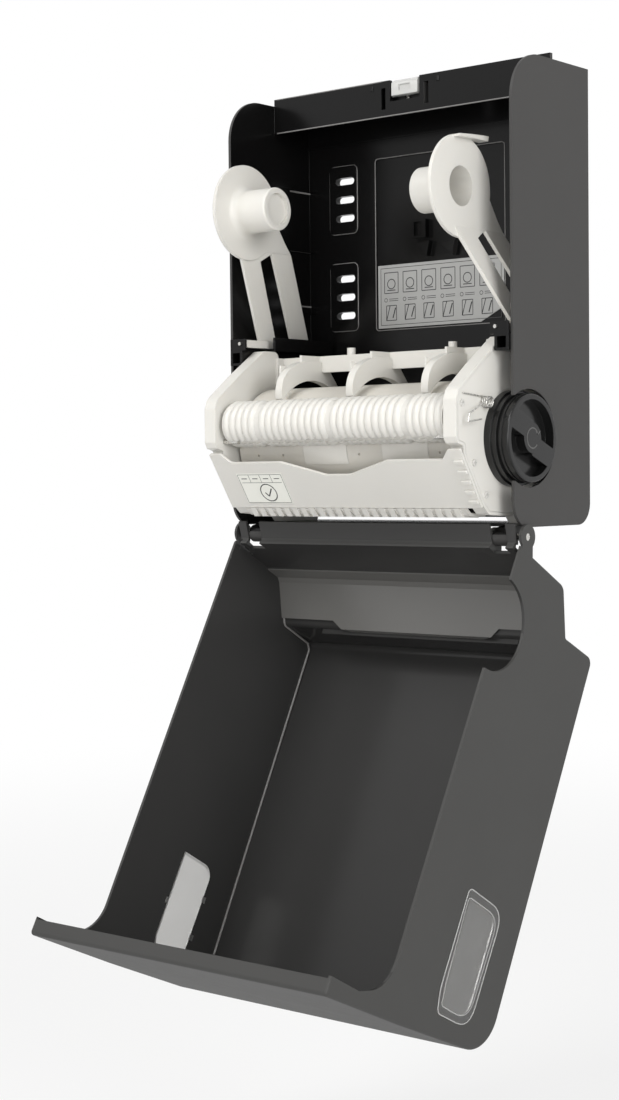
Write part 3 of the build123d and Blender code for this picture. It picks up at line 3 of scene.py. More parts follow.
import bmesh
import bpy
from mathutils import Matrix, Vector


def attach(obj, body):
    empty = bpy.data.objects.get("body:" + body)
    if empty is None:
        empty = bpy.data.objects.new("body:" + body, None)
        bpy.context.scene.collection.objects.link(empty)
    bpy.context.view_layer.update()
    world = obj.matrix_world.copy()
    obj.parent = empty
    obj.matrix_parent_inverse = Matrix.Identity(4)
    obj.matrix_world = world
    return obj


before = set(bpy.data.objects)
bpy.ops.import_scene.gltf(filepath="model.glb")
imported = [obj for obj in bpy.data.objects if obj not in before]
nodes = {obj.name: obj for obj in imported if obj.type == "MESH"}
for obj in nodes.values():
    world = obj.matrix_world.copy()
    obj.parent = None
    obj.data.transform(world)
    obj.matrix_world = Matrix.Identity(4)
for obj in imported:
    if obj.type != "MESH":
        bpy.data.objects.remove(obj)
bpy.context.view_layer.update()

# Places are in millimetres from the middle of the casing's bottom edge, at the wall: x to the
# right, y towards the wall and z up. Lengths are in metres only where a comment says so.

MM = 0.001
MOUNT_H = 245.75            # height of the wall screws' middle above the casing's bottom edge
OPEN_TURN = radians(150.76)
SHARP_ANGLE = radians(32)   # edges that turn by more than this keep a hard corner
ACROSS = Vector((1, 0, 0))


def at(x, y, z):
    """Point given in millimetres from the casing's bottom edge, in the part's own frame."""
    return Vector((x, y, z - MOUNT_H)) * MM


HINGE = at(0, -97.0, -7.5)


def on_cover(x, y, z):
    """Point on the shut cover, carried to where it lies with the cover open."""
    point = at(x, y, z) - HINGE
    return Matrix.Rotation(OPEN_TURN, 3, "X") @ point + HINGE


# Materials

# Noise scales, per metre
CLOUD_SCALE = 14.0
SMEAR_SCALE = 55.0
GRAIN_SCALE = 2600.0
SPECKLE_SCALE = 900.0

# Roughness below and above the stated one
SMEAR_DOWN = 0.01
SMEAR_UP = 0.015
SPECKLE_DOWN = 0.06
SPECKLE_UP = 0.1

# Lengths in metres
GRAIN_HEIGHT = 0.0004
EDGE_RADIUS = 0.0006
SCATTER_DEPTH = 0.004

SCATTER_SPREAD = (1.0, 0.9, 0.75)


def new_material(name):
    """Node material, with its tree and its main shader."""
    material = bpy.data.materials.new(name)
    material.use_nodes = True
    tree = material.node_tree
    shader = tree.nodes["Principled BSDF"]
    return material, tree, shader


def link(tree, source, target):
    """Join one socket to another."""
    tree.links.new(source, target)


def noise(tree, scale, detail=2.0, roughness=0.5):
    """Noise in the piece's own coordinates, in metres."""
    coords = tree.nodes.new("ShaderNodeTexCoord")
    texture = tree.nodes.new("ShaderNodeTexNoise")
    texture.inputs["Scale"].default_value = scale
    texture.inputs["Detail"].default_value = detail
    texture.inputs["Roughness"].default_value = roughness
    link(tree, coords.outputs["Object"], texture.inputs["Vector"])
    return texture


def ramp(tree, source, low, high, start=0.3, end=0.7):
    """Colour ramp between two colours or grey levels."""
    node = tree.nodes.new("ShaderNodeValToRGB")
    node.color_ramp.elements[0].position = start
    node.color_ramp.elements[1].position = end
    node.color_ramp.elements[0].color = low
    node.color_ramp.elements[1].color = high
    link(tree, source, node.inputs["Fac"])
    return node


def grey(level):
    """Opaque grey."""
    return (level, level, level, 1.0)


def tone(colour, factor):
    """Colour made lighter or darker."""
    return tuple(min(1.0, c * factor) for c in colour) + (1.0,)


def moulded(name, colour, rough, grain_depth=0.03, shade=0.10, coat=0.0, specular=0.5,
            scatter=0.0, transmission=0.0, rounded_edges=True):
    """Moulded plastic: faint cloudy colour, a fine texture in the gloss and a fine bump."""
    material, tree, shader = new_material(name)
    cloud = noise(tree, CLOUD_SCALE, 5.0)
    tint = ramp(tree, cloud.outputs["Fac"], tone(colour, 1 - shade), tone(colour, 1 + shade))
    link(tree, tint.outputs["Color"], shader.inputs["Base Color"])
    smear = noise(tree, SMEAR_SCALE, 6.0, 0.6)
    gloss = ramp(tree, smear.outputs["Fac"], grey(rough - SMEAR_DOWN), grey(rough + SMEAR_UP))
    link(tree, gloss.outputs["Color"], shader.inputs["Roughness"])
    grain = noise(tree, GRAIN_SCALE)
    bump = tree.nodes.new("ShaderNodeBump")
    bump.inputs["Strength"].default_value = grain_depth
    bump.inputs["Distance"].default_value = GRAIN_HEIGHT
    if rounded_edges:
        rounded = tree.nodes.new("ShaderNodeBevel")
        rounded.samples = 4
        rounded.inputs["Radius"].default_value = EDGE_RADIUS
        link(tree, rounded.outputs["Normal"], bump.inputs["Normal"])
    link(tree, grain.outputs["Fac"], bump.inputs["Height"])
    link(tree, bump.outputs["Normal"], shader.inputs["Normal"])
    shader.inputs["Specular IOR Level"].default_value = specular
    shader.inputs["Coat Weight"].default_value = coat
    shader.inputs["Transmission Weight"].default_value = transmission
    if scatter > 0:
        shader.inputs["Subsurface Weight"].default_value = scatter
        shader.inputs["Subsurface Radius"].default_value = SCATTER_SPREAD
        shader.inputs["Subsurface Scale"].default_value = SCATTER_DEPTH
    return material


def metal(name, colour, rough):
    """Bright metal with a fine speckle in its colour and gloss."""
    material, tree, shader = new_material(name)
    speckle = noise(tree, SPECKLE_SCALE)
    tint = ramp(tree, speckle.outputs["Fac"], tone(colour, 0.85), tone(colour, 1.1))
    gloss = ramp(tree, speckle.outputs["Fac"], grey(rough - SPECKLE_DOWN), grey(rough + SPECKLE_UP))
    link(tree, tint.outputs["Color"], shader.inputs["Base Color"])
    link(tree, gloss.outputs["Color"], shader.inputs["Roughness"])
    shader.inputs["Metallic"].default_value = 1.0
    return material


# Casing and cover
CASING_OUT = moulded("casing_satin", (0.046, 0.0447, 0.0435), 0.50, grain_depth=0.10, shade=0.03,
                     specular=0.25)
# Darker copy of the casing's black plastic for its inner faces: partly the glossier moulding's deeper
# black, partly painted shade inside the casing.
CASING_IN_SHADED = moulded("casing_inside_shaded", (0.0040, 0.0039, 0.0039), 0.22, shade=0.03, specular=0.22)
COVER_OUT = moulded("cover_satin", (0.0475, 0.047, 0.0453), 0.52, grain_depth=0.10, shade=0.03,
                    specular=0.25)
COVER_IN = moulded("cover_inside", (0.0414, 0.0408, 0.0400), 0.20, grain_depth=0.02, shade=0.03,
                   specular=0.22)
CHUTE = moulded("chute_plastic", (0.15, 0.147, 0.14), 0.25, shade=0.02, rounded_edges=False)
WINDOW = moulded("window_plastic", (0.66, 0.655, 0.64), 0.30, grain_depth=0.05, shade=0.02,
                 transmission=0.9, rounded_edges=False)
LATCH = moulded("latch_plastic", (0.75, 0.75, 0.73), 0.25, shade=0.02, transmission=0.35)

# Roll holder and drum module
MODULE = moulded("module_plastic", (0.66, 0.645, 0.605), 0.34, shade=0.02, scatter=0.12)
DRUM = moulded("drum_plastic", (0.62, 0.595, 0.54), 0.34, grain_depth=0.02, shade=0.05,
               scatter=0.2)
BUSH = moulded("bearing_plastic", (0.78, 0.77, 0.74), 0.30, scatter=0.2)
GRIP = moulded("grip_rubber", (0.74, 0.72, 0.67), 0.20, grain_depth=0.02)
ROLLER = moulded("roller_rubber", (0.35, 0.34, 0.32), 0.7, grain_depth=0.15)
KNOB = moulded("knob_plastic", (0.008, 0.008, 0.008), 0.20, grain_depth=0.02, shade=0.02,
               coat=0.1, specular=0.3)
SCREW = moulded("screw_plating", (0.60, 0.59, 0.56), 0.30, shade=0.02)
STEEL = metal("spring_steel", (0.62, 0.61, 0.58), 0.26)

# Film, print and thin lines. The knob's arrow and the pale beads and lines are painted highlights
LABEL = moulded("label_film", (0.385, 0.385, 0.375), 0.40, grain_depth=0.01, shade=0.02)
STICKER = moulded("sticker_film", (0.80, 0.80, 0.74), 0.5, grain_depth=0.01, shade=0.02)
PRINT_DARK = moulded("print_dark", (0.03, 0.03, 0.03), 0.5, shade=0.05)
# The knob's arrow is embossed in its black plastic. This lighter grey is a painted highlight on that
# relief.
ARROW_HIGHLIGHT = moulded("arrow_painted_highlight", (0.075, 0.074, 0.072), 0.4, shade=0.02)
RIM = moulded("window_rim", (0.42, 0.42, 0.41), 0.35, shade=0.02)
# Pale grey of the beads and lines: a painted highlight on the corners and edges of the black plastic,
# which is no lighter there.
HIGHLIGHT_BEAD = moulded("painted_highlight_bead", (0.20, 0.195, 0.19), 0.20, grain_depth=0.01, shade=0.02)

NODE_MATERIALS = {
    "instruction_label": LABEL,
    "latch_catch": LATCH,
    "latch_spring": STEEL,
    "paper_chute": CHUTE,
    "left_window": WINDOW,
    "right_window": WINDOW,
    # The arm brackets share that darker copy, with its painted shade.
    "left_arm_bracket": CASING_IN_SHADED,
    "right_arm_bracket": CASING_IN_SHADED,
    "left_axle_bush": BUSH,
    "right_axle_bush": BUSH,
    "detent_cam": BUSH,
    "cam_follower": BUSH,
    "inspection_label": STICKER,
    "drum_shell": DRUM,
    "left_drum_cap": DRUM,
    "right_drum_cap": DRUM,
    "grip_pads": GRIP,
    "pressure_roller": ROLLER,
    "knob": KNOB,
    "knob_ring": KNOB,
}
STEEL_WORDS = ("pin", "axle", "spring", "blade")
MODULE_WORDS = (
    "arm", "side_plate", "plate_cover", "guide", "front_plate", "comb", "press_bar", "carrier",
)

# Points inside the two shells. A face that looks away from its point is an outer one.
CASING_MIDDLE = at(0, -70, 185)
COVER_MIDDLE = on_cover(0, -150, 190)


def dress(node, material):
    """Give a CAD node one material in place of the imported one."""
    node.data.materials.clear()
    node.data.materials.append(material)


def dress_by_name(name, node):
    """Dress a node by its whole name, or else by a word in it. The two shells come later."""
    if name in NODE_MATERIALS:
        dress(node, NODE_MATERIALS[name])
    elif "screws" in name:
        dress(node, SCREW)
    elif any(word in name for word in STEEL_WORDS):
        dress(node, STEEL)
    elif any(word in name for word in MODULE_WORDS):
        dress(node, MODULE)


def dress_shell(node, outside, inside, middle):
    """Give a thin shell one material on its outer faces and another inside."""
    dress(node, outside)
    node.data.materials.append(inside)
    for face in node.data.polygons:
        outward = face.normal.dot(face.center - middle)
        face.material_index = 0 if outward > 0 else 1


def soften(mesh):
    """Smooth shading that keeps hard corners."""
    for face in mesh.polygons:
        face.use_smooth = True
    mesh.set_sharp_from_angle(angle=SHARP_ANGLE)


for name, node in nodes.items():
    dress_by_name(name, node)
    soften(node.data)

# The casing's inner faces take the darker copy, which carries painted shade.
dress_shell(nodes["rear_housing"], CASING_OUT, CASING_IN_SHADED, CASING_MIDDLE)
dress_shell(nodes["cover_shell"], COVER_OUT, COVER_IN, COVER_MIDDLE)


# Pieces that the scene adds

def mesh_piece(name, build, material, body, bevel=0.0):
    """Object made by a bmesh function, dressed and riding on a body. The bevel is in metres."""
    mesh = bpy.data.meshes.new(name)
    shape = bmesh.new()
    build(shape)
    bmesh.ops.recalc_face_normals(shape, faces=shape.faces)
    shape.to_mesh(mesh)
    shape.free()
    piece = bpy.data.objects.new(name, mesh)
    bpy.context.scene.collection.objects.link(piece)
    mesh.materials.append(material)
    soften(mesh)
    if bevel > 0:
        edge = piece.modifiers.new("edge", "BEVEL")
        edge.width = bevel
        edge.segments = 2
        edge.limit_method = "ANGLE"
    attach(piece, body)


def tube(name, points, radius, material, body, closed=False):
    """Round bead along a line of points. The radius is in millimetres."""
    curve = bpy.data.curves.new(name, "CURVE")
    curve.dimensions = "3D"
    curve.bevel_depth = radius * MM
    curve.bevel_resolution = 3
    spline = curve.splines.new("POLY")
    spline.points.add(len(points) - 1)
    for spot, point in zip(spline.points, points):
        spot.co = (*point, 1.0)
    spline.use_cyclic_u = closed
    curve.materials.append(material)
    piece = bpy.data.objects.new(name, curve)
    bpy.context.scene.collection.objects.link(piece)
    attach(piece, body)


# Printed marks, and the knob's arrow as a painted highlight: flat shapes of four corners, in
# millimetres on the face that carries them

PRINT_LIFT = 0.00006        # metres from the face to the print over it
SAME_LEVEL = 0.00005        # metres off a flat face that still count as on it
FACING = 0.5                # least product of a face's normal and the direction asked for
RING_STEP = 15              # degrees

LABEL_FRAME = (-64, -25, 128, 50)
LABEL_STEPS = 6
LABEL_FIRST = -60
LABEL_PITCH = 20.4
HAIR_LINE = 0.5
FINE_LINE = 0.7
FIRM_LINE = 0.8
BOLD_LINE = 1.2

STICKER_FRAME = (-24, -14, 48, 28)
STICKER_ROW_FOOT = 6
STICKER_ROW_TOP = 14
STICKER_LINE = 0.4
TICK_RING_RADIUS = 8.4
TICK_RING_LINE = 1.0

KNOB_BOSS = at(150.5, -90.5, 70.1)
ARROW_RADIUS = 8.0
ARROW_LINE = 1.1
ARROW_TIP = (7.5, 2.7)
ARROW_BARBS = ((4.2, 5.6), (10.6, 5.8))
BARB_LINE = 1.0


def flat_spot(node, direction):
    """Middle and outward direction of a piece's largest flat face on one side."""
    faces = [face for face in node.data.polygons if face.normal.dot(direction) > FACING]
    largest = max(faces, key=lambda face: face.area)
    normal = (node.matrix_world.to_3x3() @ largest.normal).normalized()
    level = normal.dot(node.matrix_world @ largest.center)
    spots = [node.matrix_world @ vertex.co for vertex in node.data.vertices]
    on_face = [spot for spot in spots if abs(normal.dot(spot) - level) < SAME_LEVEL]
    low = Vector([min(spot[i] for spot in on_face) for i in range(3)])
    high = Vector([max(spot[i] for spot in on_face) for i in range(3)])
    return (low + high) / 2, normal


def draw_bar(marks, start, end, width):
    """Bar between two points."""
    start = Vector(start)
    end = Vector(end)
    along = (end - start).normalized()
    side = Vector((-along.y, along.x)) * width / 2
    marks.append([start - side, end - side, end + side, start + side])


def draw_box(marks, x, y, width, height, line):
    """Rectangle of four bars, from its lower left corner."""
    corners = [(x, y), (x + width, y), (x + width, y + height), (x, y + height)]
    for start, end in zip(corners, corners[1:] + corners[:1]):
        draw_bar(marks, start, end, line)


def draw_ring(marks, x, y, radius, line, first=0, last=360):
    """Circle or arc of short bars, between two angles in degrees."""
    steps = int((last - first) / RING_STEP)
    turns = [radians(first + (last - first) * i / steps) for i in range(steps + 1)]
    spots = [(x + radius * cos(turn), y + radius * sin(turn)) for turn in turns]
    for start, end in zip(spots, spots[1:]):
        draw_bar(marks, start, end, line)


def lay_flat_marks(name, marks, middle, normal, across_way, material, body):
    """Lay flat marks just over a face: print, and on the knob the arrow's painted highlight."""
    up_way = normal.cross(across_way)
    base = middle + normal * PRINT_LIFT

    def build(shape):
        for corners in marks:
            spots = [base + (across_way * c.x + up_way * c.y) * MM for c in corners]
            shape.faces.new([shape.verts.new(spot) for spot in spots])

    mesh_piece(name, build, material, body)


def draw_roll_picture(marks, left):
    """Box with a roll over a line of paper, in the upper row."""
    draw_box(marks, left, 3, 15, 18, FINE_LINE)
    draw_ring(marks, left + 7.5, 11, 4.2, FIRM_LINE)
    draw_bar(marks, (left + 3, 5.5), (left + 12, 5.5), FIRM_LINE)


def draw_cover_picture(marks, left):
    """Casing with its cover leaning open, in the lower row."""
    draw_box(marks, left + 2, -21, 11, 13, FINE_LINE)
    draw_bar(marks, (left + 2, -21), (left + 6, -8), FIRM_LINE)
    draw_bar(marks, (left + 9, -19), (left + 12, -10), BOLD_LINE)


def draw_step_marks(marks, left):
    """Small circle and two short lines between the rows."""
    draw_ring(marks, left + 1.5, -3, 1.6, HAIR_LINE)
    for row in range(2):
        height = -2.2 - 1.6 * row
        draw_bar(marks, (left + 5, height), (left + 15, height), HAIR_LINE)


def make_label_art():
    """Wordless loading pictograms in a frame."""
    middle, normal = flat_spot(nodes["instruction_label"], Vector((0, -1, 0)))
    marks = []
    draw_box(marks, *LABEL_FRAME, HAIR_LINE)
    for step in range(LABEL_STEPS):
        left = LABEL_FIRST + LABEL_PITCH * step
        draw_roll_picture(marks, left)
        draw_cover_picture(marks, left)
        draw_step_marks(marks, left)
    lay_flat_marks("label_art", marks, middle, normal, ACROSS, PRINT_DARK, "housing")


def make_sticker_art():
    """Tick in a circle, under a row of boxes with a short bar in each."""
    middle, normal = flat_spot(nodes["inspection_label"], Vector((0, -1, -0.3)))
    marks = []
    draw_box(marks, *STICKER_FRAME, STICKER_LINE)
    draw_ring(marks, 3, -4, TICK_RING_RADIUS, TICK_RING_LINE)
    draw_bar(marks, (-1, -4), (2, -7.5), BOLD_LINE)
    draw_bar(marks, (2, -7.5), (7.5, 0), BOLD_LINE)
    draw_bar(marks, (-22, STICKER_ROW_FOOT), (22, STICKER_ROW_FOOT), STICKER_LINE)
    for x in (-12, 0, 12):
        draw_bar(marks, (x, STICKER_ROW_FOOT), (x, STICKER_ROW_TOP), STICKER_LINE)
    for x in (-21, -9, 3, 15):
        draw_bar(marks, (x, 10), (x + 6, 10), FIRM_LINE)
    lay_flat_marks("sticker_art", marks, middle, normal, ACROSS, PRINT_DARK, "housing")


def make_knob_art():
    """Circular arrow on the knob's boss, flat and lighter grey: a painted highlight of an arrow
    embossed in the black plastic.
    """
    marks = []
    draw_ring(marks, 0, 0, ARROW_RADIUS, ARROW_LINE, 20, 320)
    for barb in ARROW_BARBS:
        draw_bar(marks, ARROW_TIP, barb, BARB_LINE)
    lay_flat_marks("knob_arrow", marks, KNOB_BOSS, ACROSS, Vector((0, 1, 0)), ARROW_HIGHLIGHT, "feed_drum")


# Window rims, drawn on the shut cover as y and z

WINDOW_CORNERS = [
    (-152.3, 261.6), (-204.1, 263.6), (-202.9, 358.6), (-156.5, 359.6), (-151.5, 343.0),
]
WINDOW_RADII = [6.0, 18.0, 21.0, 5.0, 7.0]
WINDOW_RIM_X = 150.1
EDGE_INSET = 0.6
EDGE_BEAD = 0.45
STEP_INSET = 6.0
STEP_BEAD = 0.3

CORNER_DRAW = 1.3           # how far a corner moves in, as a share of the inset
ROUND_SHARE = 0.9           # how far from its corner a rounding starts, as a share of its radius
ROUND_CUT = 0.3             # what is taken off that, as a share of the inset
ROUND_STEPS = 6


def rounded_outline(corners, radii, inset):
    """Points of a rounded polygon, drawn in by an inset."""
    middle = sum((Vector(corner) for corner in corners), Vector((0, 0))) / len(corners)
    points = []
    for i, radius in enumerate(radii):
        corner = Vector(corners[i])
        back = (Vector(corners[i - 1]) - corner).normalized()
        onward = (Vector(corners[(i + 1) % len(corners)]) - corner).normalized()
        bend = corner + (middle - corner).normalized() * inset * CORNER_DRAW
        reach = radius * ROUND_SHARE - inset * ROUND_CUT
        for step in range(ROUND_STEPS + 1):
            t = step / ROUND_STEPS
            points.append(bend + back * reach * (1 - t) ** 2 + onward * reach * t ** 2)
    return points


def make_window_rims():
    """Pale lines that show the window's edge and the step behind it."""
    lines = (("edge", EDGE_INSET, EDGE_BEAD), ("step", STEP_INSET, STEP_BEAD))
    for side, x in (("left", -WINDOW_RIM_X), ("right", WINDOW_RIM_X)):
        for line, inset, radius in lines:
            points = rounded_outline(WINDOW_CORNERS, WINDOW_RADII, inset)
            spots = [on_cover(x, point.x, point.y) for point in points]
            tube(side + "_window_" + line, spots, radius, RIM, "cover", closed=True)


# Beads in the inside corners, where the solids lack a fillet. Their pale grey is a painted highlight
# of that fillet

# The shut cover's corner as y and z: under the chute, over the step and up the front wall
COVER_CORNER = [
    (-162.8, 5.0), (-182.6, 38.6), (-186.0, 41.0),
    (-222.0, 41.4), (-226.6, 46.0), (-234.2, 335.0),
]
COVER_CORNER_X = 146.6
COVER_CORNER_BEAD = 1.1

CASING_CORNER_X = 143.8
CASING_CORNER_Y = -3.6
CASING_CORNER_FOOT = 150
CASING_CORNER_TOP = 340
CASING_CORNER_BEAD = 1.2

RIB_HEIGHTS = (298.6, 245.7, 196.0)
RIB_SIDE_X = 144.2
RIB_END_X = 128
RIB_FRONT_Y = -34
RIB_BACK_Y = -3.4
RIB_BEAD = 0.9


def make_cover_corners():
    """Beads down the long corners of the cover, pale grey as a painted highlight."""
    for side, x in (("left", -COVER_CORNER_X), ("right", COVER_CORNER_X)):
        spots = [on_cover(x, y, z) for y, z in COVER_CORNER]
        tube(side + "_cover_corner", spots, COVER_CORNER_BEAD, HIGHLIGHT_BEAD, "cover")


def make_casing_corners():
    """Beads in the casing's upright corners, and short ribs from side wall to back wall, all pale
    grey as painted highlights.
    """
    for side, way in (("left", -1), ("right", 1)):
        foot = at(way * CASING_CORNER_X, CASING_CORNER_Y, CASING_CORNER_FOOT)
        top = at(way * CASING_CORNER_X, CASING_CORNER_Y, CASING_CORNER_TOP)
        tube(side + "_casing_corner", [foot, top], CASING_CORNER_BEAD, HIGHLIGHT_BEAD, "housing")
        for number, height in enumerate(RIB_HEIGHTS):
            rib = [
                at(way * RIB_SIDE_X, RIB_FRONT_Y, height),
                at(way * RIB_SIDE_X, RIB_BACK_Y, height),
                at(way * RIB_END_X, RIB_BACK_Y, height),
            ]
            tube(side + "_casing_rib_%d" % (number + 1), rib, RIB_BEAD, HIGHLIGHT_BEAD, "housing")


# Lines on the back wall, pale grey as painted highlights on its edges

FRAME_BEAD = 0.5
FRAME_STEPS = 4             # pieces in the quarter circle at each corner

PANEL_MIDDLE = (0, 246.0)
PANEL_SIZE = (137.5, 151.5)
PANEL_Y = -5.1
PANEL_ROUND = 3.0

PAD_X = 104.5
PAD_HEIGHTS = (("upper", 289.25), ("lower", 202.25))
PAD_SIZE = (31.2, 60.6)
PAD_Y = -5.3
PAD_ROUND = 5.0


def frame_bead(name, middle, size, y, rounding):
    """Thin glossy line round a rectangle on the back wall, pale grey as a painted highlight on its
    edge.
    """
    spots = []
    for quarter, (across, up) in enumerate(((1, 1), (-1, 1), (-1, -1), (1, -1))):
        x = middle[0] + across * (size[0] / 2 - rounding)
        z = middle[1] + up * (size[1] / 2 - rounding)
        for step in range(FRAME_STEPS + 1):
            turn = radians(90 * quarter + 90 * step / FRAME_STEPS)
            spots.append(at(x + rounding * cos(turn), y, z + rounding * sin(turn)))
    tube(name, spots, FRAME_BEAD, HIGHLIGHT_BEAD, "housing", closed=True)


def make_back_lines():
    """Lines round the label's panel and the four screw pads, as painted highlights."""
    frame_bead("panel_line", PANEL_MIDDLE, PANEL_SIZE, PANEL_Y, PANEL_ROUND)
    for side, x in (("left", -PAD_X), ("right", PAD_X)):
        for level, height in PAD_HEIGHTS:
            frame_bead("%s_%s_pad_line" % (side, level), (x, height), PAD_SIZE, PAD_Y, PAD_ROUND)


# Snap ridges on the front plate

PLATE_FOOT = at(0, -131.4, 15.6)
PLATE_TOP = at(0, -160.6, 61.0)
PLATE_OUT = Vector((0, -0.841, -0.541))

RIDGE_COUNT = 5
RIDGE_FIRST = 0.12          # share of the way up the plate
RIDGE_PITCH = 0.17
RIDGE_MIDDLE = 0.0012       # metres out from the plate, and the rest in metres too
RIDGE_BELOW = -0.0011
RIDGE_ABOVE = 0.0009
RIDGE_HALF = 0.0016
RIDGE_ENDS = (0.121, 0.1296)
RIDGE_EDGE = 0.0004


def hull_of(corners):
    """Function that builds the block round a few corners."""
    def build(shape):
        spots = [shape.verts.new(corner) for corner in corners]
        bmesh.ops.convex_hull(shape, input=spots)

    return build


def make_snap_ridges():
    """Snap ridges up the right edge of the slanted front plate."""
    along = (PLATE_TOP - PLATE_FOOT).normalized() * RIDGE_HALF
    for number in range(RIDGE_COUNT):
        share = RIDGE_FIRST + RIDGE_PITCH * number
        middle = PLATE_FOOT.lerp(PLATE_TOP, share) + PLATE_OUT * RIDGE_MIDDLE
        corners = [
            ACROSS * x + middle + along * run + PLATE_OUT * lift
            for x in RIDGE_ENDS
            for lift in (RIDGE_BELOW, RIDGE_ABOVE)
            for run in (-1, 1)
        ]
        name = "snap_ridge_%d" % (number + 1)
        mesh_piece(name, hull_of(corners), MODULE, "housing", bevel=RIDGE_EDGE)


# Lines on the top rail, pale grey as painted highlights

RAIL_Y = -52.9
RAIL_END_X = 141.5
RAIL_FOOT = 347.0
RAIL_TOP = 376.7
RAIL_NOTCH_X = -24
RAIL_FOOT_BEAD = 0.6
RAIL_TOP_BEAD = 0.5

DIMPLE_X = 34.5
DIMPLE_Y = -53.0
DIMPLE_FOOT = 370
DIMPLE_TOP = 374
DIMPLE_RADIUS = 1.4


def make_rail_lines():
    """Glossy lines on the top rail's edges, pale grey as painted highlights, and a dark mark on each
    side of the catch.
    """
    foot = [at(-RAIL_END_X, RAIL_Y, RAIL_FOOT), at(RAIL_END_X, RAIL_Y, RAIL_FOOT)]
    top = [at(-RAIL_END_X, RAIL_Y, RAIL_TOP), at(RAIL_NOTCH_X, RAIL_Y, RAIL_TOP)]
    tube("rail_low_line", foot, RAIL_FOOT_BEAD, HIGHLIGHT_BEAD, "housing")
    tube("rail_high_line", top, RAIL_TOP_BEAD, HIGHLIGHT_BEAD, "housing")
    for side, x in (("left", -DIMPLE_X), ("right", DIMPLE_X)):
        mark = [at(x, DIMPLE_Y, DIMPLE_FOOT), at(x, DIMPLE_Y, DIMPLE_TOP)]
        tube("rail_dimple_" + side, mark, DIMPLE_RADIUS, CASING_IN_SHADED, "housing")


make_snap_ridges()
make_rail_lines()
make_back_lines()
make_label_art()
make_sticker_art()
make_knob_art()
make_window_rims()
make_cover_corners()
make_casing_corners()


# Light, floor and camera

CAMERA_SPOT = at(985.1, -1375.1, 43.0)
CAMERA_YAW = radians(39.618)
CAMERA_PITCH = radians(-2.221)
CAMERA_ROLL = radians(-0.609)
FOCAL_MM = 63.34
SENSOR_MM = 36.0
CAMERA_SIGHT = 20.0         # metres

# Floor, in metres
FLOOR_Z = -0.78
FLOOR_REACH = 40.0
NEAR_REACH = 0.5            # distance from the middle where the white starts to grow
FAR_REACH = 2.6             # distance from the middle where the floor is plain white

FLOOR_COLOUR = (0.92, 0.92, 0.92, 1)
FLOOR_ROUGH = 0.9
NEAR_WHITE = 0.72           # share of plain white under the object, where its shadow falls

WORLD_COLOUR = (0.96, 0.955, 0.94, 1)
WORLD_STRENGTH = 0.45
PLAIN_WHITE = (1, 1, 1, 1)


def make_camera():
    """Camera at the photograph's place, with its heading, tilt and slight roll."""
    data = bpy.data.cameras.new("camera")
    data.sensor_width = SENSOR_MM
    data.lens = FOCAL_MM
    data.clip_end = CAMERA_SIGHT
    camera = bpy.data.objects.new("camera", data)
    bpy.context.scene.collection.objects.link(camera)
    forward = Vector((
        -sin(CAMERA_YAW) * cos(CAMERA_PITCH),
        cos(CAMERA_YAW) * cos(CAMERA_PITCH),
        sin(CAMERA_PITCH),
    ))
    level = Vector((cos(CAMERA_YAW), sin(CAMERA_YAW), 0))
    upright = level.cross(forward)
    right = cos(CAMERA_ROLL) * level + sin(CAMERA_ROLL) * upright
    up = -sin(CAMERA_ROLL) * level + cos(CAMERA_ROLL) * upright
    turn = Matrix((right, up, -forward)).transposed()
    camera.matrix_world = Matrix.Translation(CAMERA_SPOT) @ turn.to_4x4()
    bpy.context.scene.camera = camera


def area_light(name, spot, aim, size, power):
    """Rectangular lamp at a spot, turned to its aim. Places and sizes are in metres."""
    data = bpy.data.lights.new(name, "AREA")
    data.shape = "RECTANGLE"
    data.size, data.size_y = size
    data.energy = power
    lamp = bpy.data.objects.new(name, data)
    bpy.context.scene.collection.objects.link(lamp)
    lamp.location = spot
    lamp.rotation_euler = (Vector(aim) - Vector(spot)).to_track_quat("-Z", "Y").to_euler()


def math_node(tree, operation, first, second):
    """Value of a plain operation on two sockets."""
    node = tree.nodes.new("ShaderNodeMath")
    node.operation = operation
    link(tree, first, node.inputs[0])
    link(tree, second, node.inputs[1])
    return node.outputs["Value"]


def seen_directly(tree):
    """1 for rays from the camera, or off a gloss or through glass, and otherwise 0."""
    path = tree.nodes.new("ShaderNodeLightPath")
    glossy = math_node(tree, "MAXIMUM", path.outputs["Is Camera Ray"], path.outputs["Is Glossy Ray"])
    return math_node(tree, "MAXIMUM", glossy, path.outputs["Is Transmission Ray"])


def white_share(tree):
    """Share of plain white over the floor: least under the object, full far out."""
    coords = tree.nodes.new("ShaderNodeTexCoord")
    distance = tree.nodes.new("ShaderNodeVectorMath")
    distance.operation = "LENGTH"
    link(tree, coords.outputs["Object"], distance.inputs[0])
    spread = tree.nodes.new("ShaderNodeMapRange")
    spread.interpolation_type = "SMOOTHSTEP"
    spread.inputs["From Min"].default_value = NEAR_REACH
    spread.inputs["From Max"].default_value = FAR_REACH
    spread.inputs["To Min"].default_value = NEAR_WHITE
    spread.inputs["To Max"].default_value = 1.0
    link(tree, distance.outputs["Value"], spread.inputs["Value"])
    return spread.outputs["Result"]


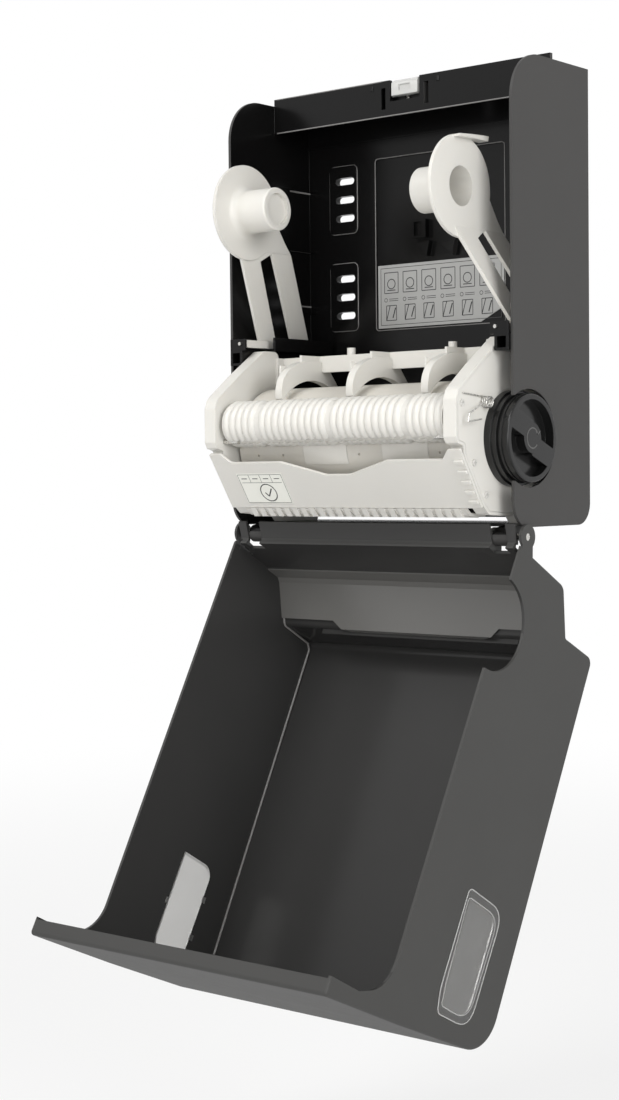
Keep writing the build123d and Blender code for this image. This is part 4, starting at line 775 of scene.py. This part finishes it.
def make_floor():
    """Pale floor that turns to plain white away from the object, and keeps its shadow."""
    mesh = bpy.data.meshes.new("floor")
    shape = bmesh.new()
    bmesh.ops.create_grid(shape, x_segments=1, y_segments=1, size=FLOOR_REACH)
    shape.to_mesh(mesh)
    shape.free()
    floor = bpy.data.objects.new("floor", mesh)
    bpy.context.scene.collection.objects.link(floor)
    floor.location = (0, 0, FLOOR_Z)
    material, tree, shader = new_material("floor_pale")
    shader.inputs["Base Color"].default_value = FLOOR_COLOUR
    shader.inputs["Roughness"].default_value = FLOOR_ROUGH
    glow = tree.nodes.new("ShaderNodeEmission")
    mix = tree.nodes.new("ShaderNodeMixShader")
    link(tree, math_node(tree, "MULTIPLY", seen_directly(tree), white_share(tree)), mix.inputs["Fac"])
    link(tree, shader.outputs["BSDF"], mix.inputs[1])
    link(tree, glow.outputs["Emission"], mix.inputs[2])
    link(tree, mix.outputs["Shader"], tree.nodes["Material Output"].inputs["Surface"])
    mesh.materials.append(material)


def make_world():
    """Soft light from all round, and plain white where the background itself is seen."""
    world = bpy.data.worlds.new("studio")
    bpy.context.scene.world = world
    world.use_nodes = True
    tree = world.node_tree
    plain = tree.nodes["Background"]
    plain.inputs["Color"].default_value = WORLD_COLOUR
    plain.inputs["Strength"].default_value = WORLD_STRENGTH
    white = tree.nodes.new("ShaderNodeBackground")
    white.inputs["Color"].default_value = PLAIN_WHITE
    mix = tree.nodes.new("ShaderNodeMixShader")
    link(tree, seen_directly(tree), mix.inputs["Fac"])
    link(tree, plain.outputs["Background"], mix.inputs[1])
    link(tree, white.outputs["Background"], mix.inputs[2])
    link(tree, mix.outputs["Shader"], tree.nodes["World Output"].inputs["Surface"])


bpy.context.scene.view_settings.view_transform = "Standard"
make_camera()
make_floor()
make_world()
area_light("key", spot=(-0.5, -2.0, 1.8), aim=(0, -0.1, -0.15), size=(1.4, 1.4), power=42)
area_light("side", spot=(2.4, -0.9, 0.5), aim=(0, -0.1, -0.2), size=(1.2, 1.6), power=40)
area_light("front", spot=(0.9, -2.6, -0.2), aim=(0, -0.1, -0.3), size=(1.0, 1.0), power=14)
